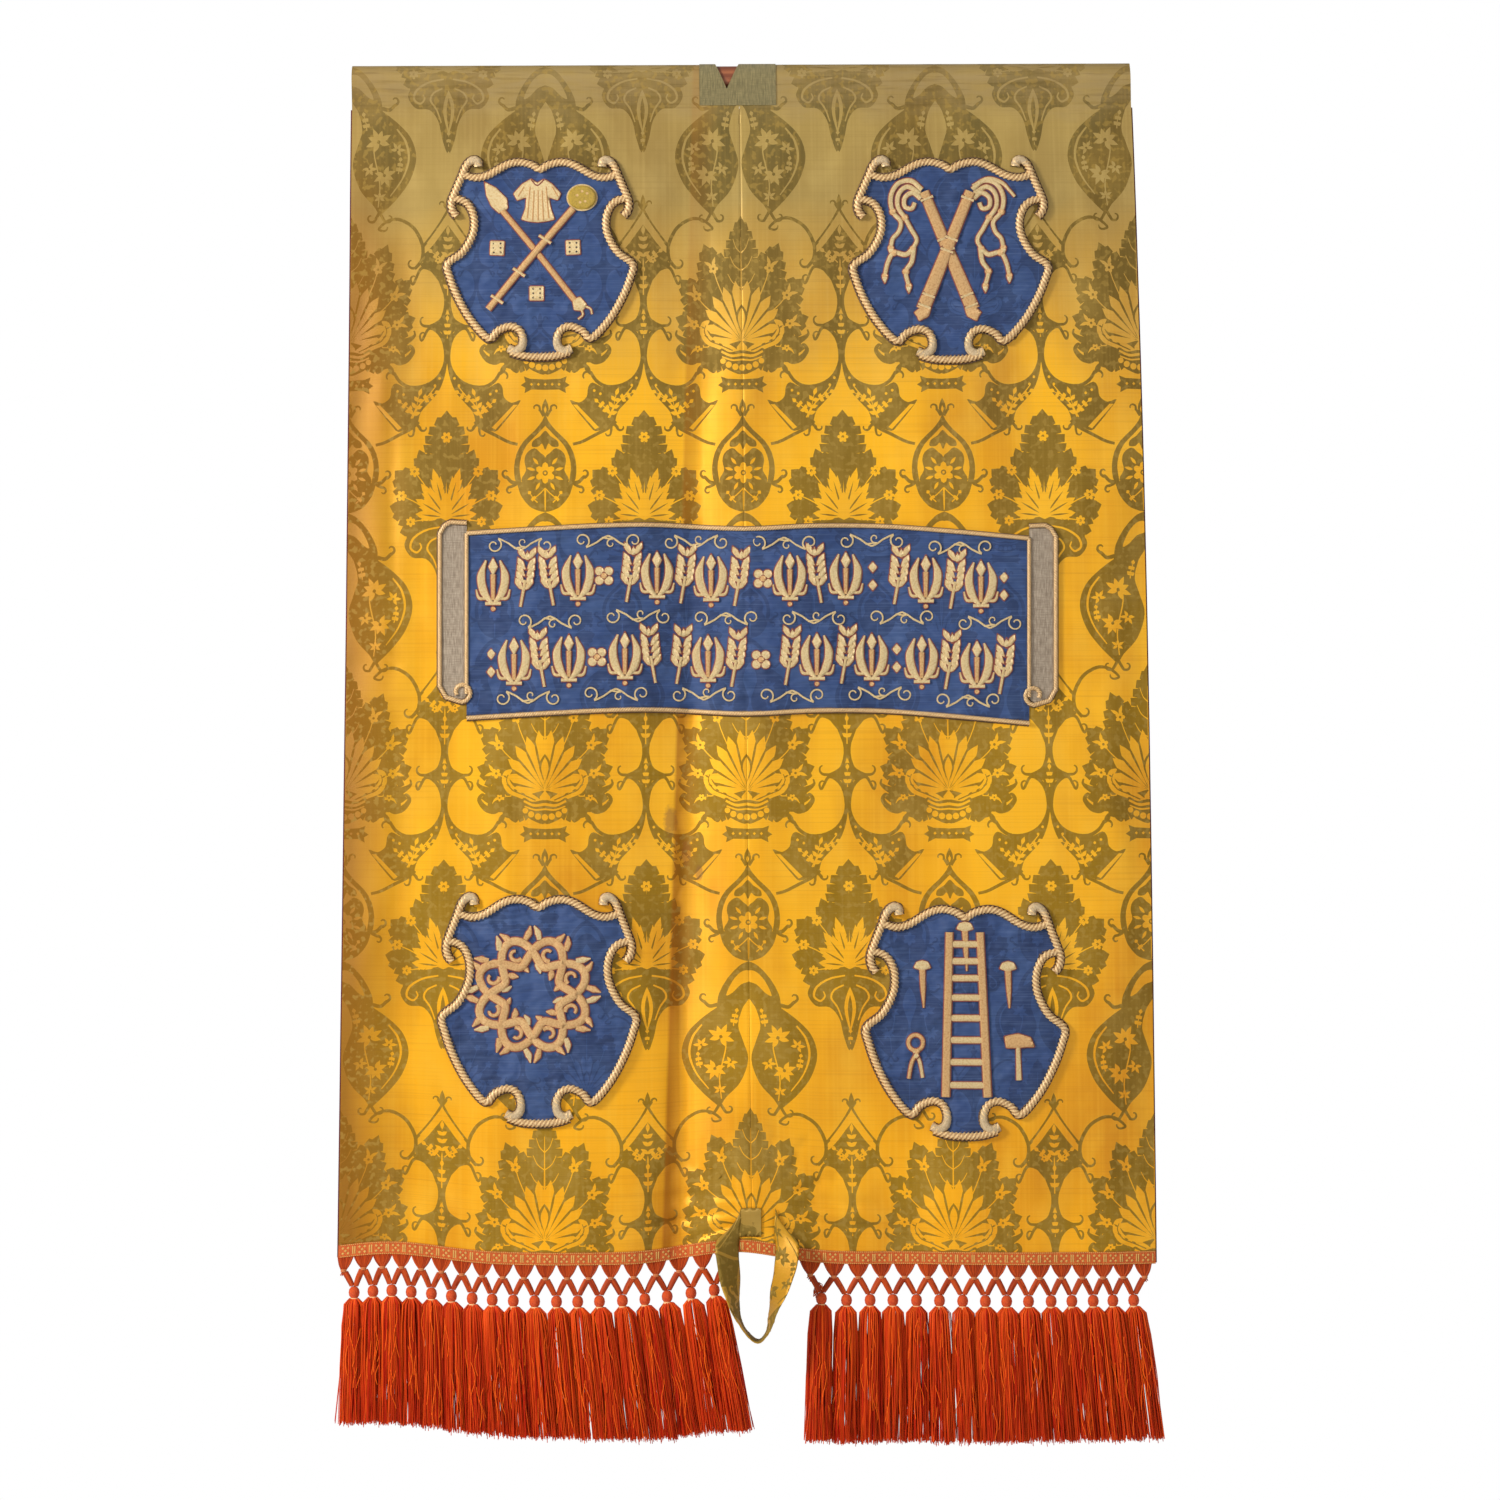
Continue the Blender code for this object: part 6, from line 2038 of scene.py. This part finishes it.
def binding(pile, middle, count, size, height, thick, tone):
    """One turn of pale thread round a neck or a knot."""
    turns = np.linspace(0, 2 * math.pi, count + 1)[:-1]
    ring = np.stack([size[0] * np.cos(turns), size[1] * np.sin(turns), height + 0 * turns], axis=1)
    tube(pile, middle + ring, thick, 5, 1, tone, closed=True)


def add_skirt(pile, head, tip, uneven):
    """Many fine strands that hang from the neck, closer together than they are wide."""
    length = head[2] - tip[2]
    turn = uneven.uniform(0, 2 * math.pi, STRANDS)
    depth = np.sqrt(uneven.uniform(0.30, 1.0, STRANDS))
    stray = uneven.uniform(0, 1, STRANDS) > 0.90
    end = length + uneven.normal(0.0, 0.0022, STRANDS) - 0.0040
    bend = uneven.normal(0.0, 0.0020, (2, STRANDS))
    drift = uneven.normal(0.0, 0.0016, (2, STRANDS))
    twist = uneven.normal(0.0, 0.16, STRANDS)
    shares = np.linspace(0.0, 1.0, STRAND_STEPS + 1) ** 2.2
    paths = []
    for share in shares:
        drop = STRAND_START + share * (end - STRAND_START)
        reach = skirt_reach(drop) * depth
        angle = turn + twist * share
        wave = np.sin(share * math.pi * 1.6 + turn * 3)
        spread = stray * STRAY_REACH * share * np.cos(angle)
        x = reach * np.cos(angle) + bend[0] * wave * share + drift[0] * share + spread
        y = reach * SKIRT_FLATTEN * np.sin(angle) + bend[1] * wave * share * 0.6 + drift[1] * share * 0.5
        middle = head[0] + (tip[0] - head[0]) * (drop / length)
        paths.append(np.stack([middle + x, mix(head[1], tip[1], share) + y, head[2] - drop], axis=1))
    # Random tone for each strand, with painted shade on the strands deeper inside the skirt
    tone = np.clip(uneven.normal(0.42, 0.22, STRANDS), 0.02, 1.0) * (0.45 + 0.55 * depth)
    # Lighter near the neck and darker towards the tips
    fade = np.interp(shares, (0, 0.15, 1), (1.25, 1.0, 0.78))
    add_strands(pile, np.stack(paths, axis=1), tone[:, None] * fade[None, :])
    for _ in range(STRAY_HAIRS):
        add_hair(pile, head, tip, uneven)


def skirt_reach(drop):
    """The skirt's half width this far below the head's top."""
    drops, reaches = zip(*SKIRT_PROFILE)
    return np.interp(drop, drops, reaches)


def add_strands(pile, lines, tones):
    """Three-sided strands along these lines, thinner at their ends."""
    count, steps = tones.shape
    size = np.full(steps, STRAND_RADIUS)
    size[-1] *= 0.75
    corners = 2 * math.pi * np.arange(3) / 3 + math.pi / 2
    ring = np.stack([np.cos(corners), -np.sin(corners), 0 * corners], axis=1)
    points = lines[:, :, None, :] + ring[None, None] * size[None, :, None, None]
    first = (np.arange(count) * steps * 3)[:, None, None] + (np.arange(steps - 1) * 3)[None, :, None]
    k = np.arange(3)[None, None, :]
    after = (k + 1) % 3
    faces = np.stack([first + k, first + 3 + k, first + 3 + after, first + after], -1).reshape(-1, 4)
    pile.add(points, faces, 0, np.clip(np.repeat(tones, 3, axis=1).ravel(), 0, 1))


def add_hair(pile, head, tip, uneven):
    """A loose curl of silk lying over the strands."""
    length = head[2] - tip[2]
    start = uneven.uniform(0.10, 0.75)
    shares = np.linspace(start, min(start + uneven.uniform(0.12, 0.30), 0.97), 8)
    side, swing, turns = uneven.uniform(-0.75, 0.75), uneven.uniform(0.0015, 0.0040), uneven.uniform(8, 22)
    middle = head + (tip - head) * shares[:, None]
    reach = skirt_reach(length * shares)
    x = side * reach + swing * np.sin(turns * shares + side * 9)
    ahead = SKIRT_FLATTEN * np.sqrt(np.clip(reach ** 2 - x ** 2, 0.00001, None)) + 0.0006
    path = middle + np.stack([x, -ahead, 0.0012 * np.cos(turns * shares)], axis=1)
    tube(pile, path, 0.00042, 3, 0, 1.0)


def hem_spot(x):
    """Lower edge of the cloth at this place across."""
    flat = np.linspace(-HALF_WIDTH, HALF_WIDTH, 200)
    return cloth(np.interp(x, across(flat, 1.0), flat), DROP, 0.0)


def build_net(side, m):
    """Yarns gathered into ties, then parted in two to the neighbouring heads."""
    uneven = random.Random(31 if side == "left" else 32)
    pile = Pile()
    places = tassel_places(side)
    xs = [head[0] for _, head, _ in places]
    pitch = (xs[-1] - xs[0]) / (len(xs) - 1)
    ties = [xs[0] - pitch / 2, *[(a + b) / 2 for a, b in zip(xs, xs[1:])], xs[-1] + pitch / 2]
    for number, tie in enumerate(ties):
        top = hem_spot(tie)
        knot = np.array([tie, top[1] - NET_HALF_DEPTH, top[2] - TIE_DROP])
        net_tie(pile, knot, pitch, uneven)
        for way, reached in ((-1, number - 1), (1, number)):
            if 0 <= reached < len(places):
                net_legs(pile, knot, places[reached][1], way, uneven)
            else:
                loose_end(pile, knot, way, uneven)
    if side == "right":
        frayed_knot(pile, xs[0], hem_spot(xs[0]))
    root(pile.make(f"net_yarns_{side}", [m["net"], m["tie"]]), "orange_silk", f"fringe_net_{side}")


def net_tie(pile, knot, pitch, uneven):
    """Yarns that fan down from the hem into one bound knot."""
    for n in range(YARNS):
        spread = n / (YARNS - 1) - 0.5
        start = hem_spot(np.clip(knot[0] + spread * pitch * 0.94, *HEM_ENDS))
        start = start + (0.0, -0.0012 - 0.0003 * math.cos(n * 2.4), 0.0024)
        bow = mix(start, knot, 0.55) + np.array([spread * pitch * 0.16, -0.0006, 0.0])
        near = knot + (spread * 0.0052, -0.0008 * math.cos(n * 2.4), 0.0014)
        path = np.array(catmull([start, bow, near, knot + (spread * 0.004, 0, -0.002)], 3))
        tube(pile, path, TIE_YARN_RADIUS, 4, 0, uneven.uniform(0.25, 0.8))
    for n in range(3):
        binding(pile, knot, 10, (0.0038, 0.0024), 0.0011 * (n - 1), 0.0009, 0.12)


def net_legs(pile, knot, head, way, uneven):
    """Three yarns side by side from a knot to the head on this side of it."""
    for n in range(3):
        offset = (n - 1) * LEG_SPACING
        start = knot + (way * 0.0014 + offset, 0, -0.001)
        middle = mix(knot, head, 0.45) + (way * 0.0006 + offset * 0.9, -0.0006 * (n == 1), -0.001)
        end = head + (-way * 0.0022 + offset * 0.6, 0, 0.0010)
        tube(pile, np.array(catmull([start, middle, end], 5)), LEG_RADIUS, 5, 0, uneven.uniform(0.15, 0.7))


def loose_end(pile, knot, way, uneven):
    for n in range(3):
        drop = uneven.uniform(0.004, 0.009)
        middle = knot + (way * 0.0012 * n, -0.0005, -drop * 0.5)
        path = np.array(catmull([knot, middle, knot + (way * 0.002 * n, 0, -drop)], 4))
        tube(pile, path, 0.0007, 4, 0, 0.6)


FRAYED_THREADS = 26
FRAYED_SPREAD = (
    # across, ahead and up, for a thread's start, bend and end
    ((-0.003, 0.003), (-0.002, 0.001), (0.0, 0.007)),
    ((-0.006, 0.006), (-0.003, 0.001), (-0.006, 0.002)),
    ((-0.006, 0.006), (-0.003, 0.001), (-0.014, -0.004)),
)


def frayed_knot(pile, x, hem):
    """The knot by the loop that has come undone."""
    uneven = random.Random(5)
    middle = np.array([x - 0.004, hem[1] - NET_HALF_DEPTH, hem[2] - 0.030])
    for _ in range(FRAYED_THREADS):
        points = [middle + [uneven.uniform(*span) for span in spans] for spans in FRAYED_SPREAD]
        tube(pile, np.array(catmull(points, 4)), 0.0005, 4, 0, uneven.uniform(0.2, 0.9))


# Pole loop

LOOP_HALF_WIDTH = 0.018
LOOP_THICKNESS = 0.0022
LOOP_CLOTH_BASE = -1.466
LOOP_EDGE = 0.002
LOOP_FIGURE_START = 205.0
LOOP_FIGURE_SHIFT = (SIDE * 0.4, 120.0)
LOOP_STATIONS = (
    # x, ahead, z, then the way its width runs in x, y and z
    (0.0440, 0.0006, -1.4465, 0, 0, 1), (0.0210, 0.0006, -1.4468, 0, 0, 1),
    (0.0110, 0.0042, -1.4490, 0.42, 0.05, 0.90),
    (0.0045, 0.0075, -1.4570, 0.80, 0.20, 0.52), (0.0015, 0.0140, -1.4790, 0.80, 0.58, 0.10),
    (0.0040, 0.0200, -1.5060, 0.76, 0.65, 0), (0.0075, 0.0240, -1.5330, 0.56, 0.83, 0),
    (0.0130, 0.0255, -1.5570, 0.24, 0.97, 0), (0.0240, 0.0260, -1.5790, 0.06, 1, 0),
    (0.0400, 0.0260, -1.5920, 0, 1, 0),
    (0.0520, 0.0260, -1.5800, -0.08, 1, 0), (0.0585, 0.0250, -1.5560, -0.28, 0.96, 0),
    (0.0660, 0.0235, -1.5310, -0.58, 0.81, 0), (0.0735, 0.0195, -1.5040, -0.76, 0.65, 0),
    (0.0765, 0.0140, -1.4790, -0.80, 0.58, 0.10), (0.0745, 0.0075, -1.4570, -0.80, 0.20, 0.52),
    (0.0700, 0.0042, -1.4490, -0.42, 0.05, 0.90), (0.0620, 0.0006, -1.4468, 0, 0, 1),
)


def loop_centre_lines():
    """The strap's middle line and the way its width runs, at small steps."""
    table = np.array(LOOP_STATIONS, float)
    spots = on_front(table[:, 0], np.maximum(table[:, 2], LOOP_CLOTH_BASE), 0.0)
    back = spots[:, 1] - table[:, 1] - SEWN_GAP - LOOP_THICKNESS / 2
    centre = np.stack([table[:, 0], back, table[:, 2]], axis=1)
    wide = table[:, 3:] / np.linalg.norm(table[:, 3:], axis=1, keepdims=True)
    both = np.concatenate([centre, wide * 0.05], axis=1)
    fine = np.array(catmull(list(both), 8))
    return fine[:, :3], fine[:, 3:] / np.linalg.norm(fine[:, 3:], axis=1, keepdims=True)


def loop_place(centre, wide):
    """The strap's surface, for u across it and down from its first end, lifted off its middle."""
    run = lengths(centre)

    def place(u, down, lift_by):
        at = down - LOOP_FIGURE_START * MM
        middle = np.stack([np.interp(at, run, centre[:, n]) for n in range(3)], axis=1)
        way = np.stack([np.interp(at, run, wide[:, n]) for n in range(3)], axis=1)
        way /= np.linalg.norm(way, axis=1, keepdims=True)
        ahead = np.stack([np.interp(at + 0.002, run, centre[:, n]) - np.interp(at - 0.002, run, centre[:, n])
                          for n in range(3)], axis=1)
        out = np.cross(way, ahead)
        out /= np.linalg.norm(out, axis=1, keepdims=True) + 1e-12
        ripple = 0.0004 * np.sin(at * 160) * np.sin(u * 90)
        return middle + way * u[:, None] + out * (lift_by + ripple)[:, None]
    return place


def build_loop(cell, m):
    """The strap, with the figure on its outer side and the figure's reverse on its inner side."""
    centre, wide = loop_centre_lines()
    place = loop_place(centre, wide)
    sheet = lengths(centre)[-1]
    low = (-LOOP_HALF_WIDTH / MM, LOOP_FIGURE_START)
    high = (LOOP_HALF_WIDTH / MM, LOOP_FIGURE_START + sheet / MM)
    mesh = cut_flat(*lay_figure(cell, low, high, LOOP_FIGURE_SHIFT), box_cuts(low, high))
    mesh = split_mesh(mesh, [((0, y), (0, 1)) for y in np.arange(LOOP_FIGURE_START + 2, high[1], 3.0)])
    points, faces, values = mesh_arrays(mesh)
    flat = points * MM
    edge = np.minimum(LOOP_HALF_WIDTH - np.abs(flat[:, 0]), LOOP_EDGE) / LOOP_EDGE
    rise = LOOP_THICKNESS * 0.5 * np.sqrt(np.clip(edge, 0.0, 1.0))
    sides = np.concatenate([place(flat[:, 0], flat[:, 1], way * rise) for way in (1, -1)])
    faces = np.concatenate([faces, faces[:, ::-1] + len(flat)])
    slots = np.concatenate([values, 1 - values])
    made = new_object("strap_cloth", sides, faces, [m["strap"], m["strap_figure"]], slots,
                      np.concatenate([flat, flat]))
    work = bmesh.new()
    work.from_mesh(made.data)
    bmesh.ops.remove_doubles(work, verts=work.verts, dist=0.00005)
    bmesh.ops.recalc_face_normals(work, faces=work.faces)
    work.to_mesh(made.data)
    work.free()
    root(made, "gold_damask", "pole_loop")


# Scene

CAMERA_X = 0.030
CAMERA_Z = -0.856
CAMERA_AWAY = 6.0
LENS = 115.0
FLOOR_Z = -2.3
WORLD_LIGHT = 0.40
KEY_PLACE = (-3.4, -2.4, 0.9)
KEY_POWER = 200.0
KEY_COLOUR = (1.0, 0.97, 0.92)
FILL_PLACE = (2.2, -4.2, -0.2)
FILL_POWER = 30.0
LIGHT_AIM = (0.0, 0.0, -0.85)
FLOOR_EDGES = ((-4, -4), (4, -4), (4, 3.2), (-4, 3.2))


def add_camera():
    data = bpy.data.cameras.new("camera")
    data.lens = LENS
    data.sensor_width = 36.0
    camera = bpy.data.objects.new("camera", data)
    camera.location = (CAMERA_X, -CAMERA_AWAY, CAMERA_Z)
    camera.rotation_euler = (math.pi / 2, 0.0, 0.0)
    bpy.context.scene.collection.objects.link(camera)
    bpy.context.scene.camera = camera


def add_light(name, place, size, power, colour=(1, 1, 1)):
    data = bpy.data.lights.new(name, "AREA")
    data.shape = "DISK"
    data.size = size
    data.energy = power
    data.color = colour
    made = bpy.data.objects.new(name, data)
    made.location = place
    made.rotation_euler = (Vector(LIGHT_AIM) - Vector(place)).to_track_quat("-Z", "Y").to_euler()
    bpy.context.scene.collection.objects.link(made)


def add_surroundings():
    world = bpy.data.worlds.new("white")
    world.use_nodes = True
    tree = world.node_tree
    background = tree.nodes["Background"]
    background.inputs["Color"].default_value = (1, 1, 1, 1)
    seen = tree.nodes.new("ShaderNodeLightPath").outputs["Is Camera Ray"]
    strength = tree.nodes.new("ShaderNodeMapRange")
    strength.inputs["To Min"].default_value = WORLD_LIGHT
    strength.inputs["To Max"].default_value = 1.0
    tree.links.new(seen, strength.inputs["Value"])
    tree.links.new(strength.outputs[0], background.inputs["Strength"])
    bpy.context.scene.world = world
    bpy.context.scene.view_settings.view_transform = "Standard"
    add_light("key", KEY_PLACE, 0.9, KEY_POWER, KEY_COLOUR)
    add_light("fill", FILL_PLACE, 2.4, FILL_POWER)
    floor = new_object("floor", [(x, y, FLOOR_Z) for x, y in FLOOR_EDGES], [(0, 1, 2, 3)], [])
    pale = bpy.data.materials.new("floor_paint")
    pale.use_nodes = True
    pale.node_tree.nodes["Principled BSDF"].inputs["Base Color"].default_value = (0.9, 0.9, 0.9, 1)
    floor.data.materials.append(pale)
    floor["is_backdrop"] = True


def main():
    m = make_materials()
    cell = figure_cell()
    root(build_panel("cloth_left", cell, -1, m), "gold_damask", "banner_left")
    root(build_panel("cloth_right", cell, 1, m), "gold_damask", "banner_right")
    root(build_lining(m), "maroon_lining", "lining")
    root(build_patch(m), "khaki_canvas", "notch_patch")
    for number, row in enumerate(SHIELDS):
        build_shield(number, row, m)
    build_scroll(m)
    build_goldwork(m)
    build_braid(m)
    for side in ("left", "right"):
        build_net(side, m)
        build_tassels(side, m)
    build_loop(cell, m)
    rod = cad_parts["rod"]
    rod.data.materials.clear()
    rod.data.materials.append(m["wood"])
    add_camera()
    add_surroundings()
    {"cad": plain(cad_box), "scene": plain(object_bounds())}


def plain(value):
    if isinstance(value, dict):
        return {key: plain(each) for key, each in value.items()}
    if isinstance(value, (tuple, list, Vector, np.ndarray)):
        return [plain(each) for each in value]
    return float(value)


main()
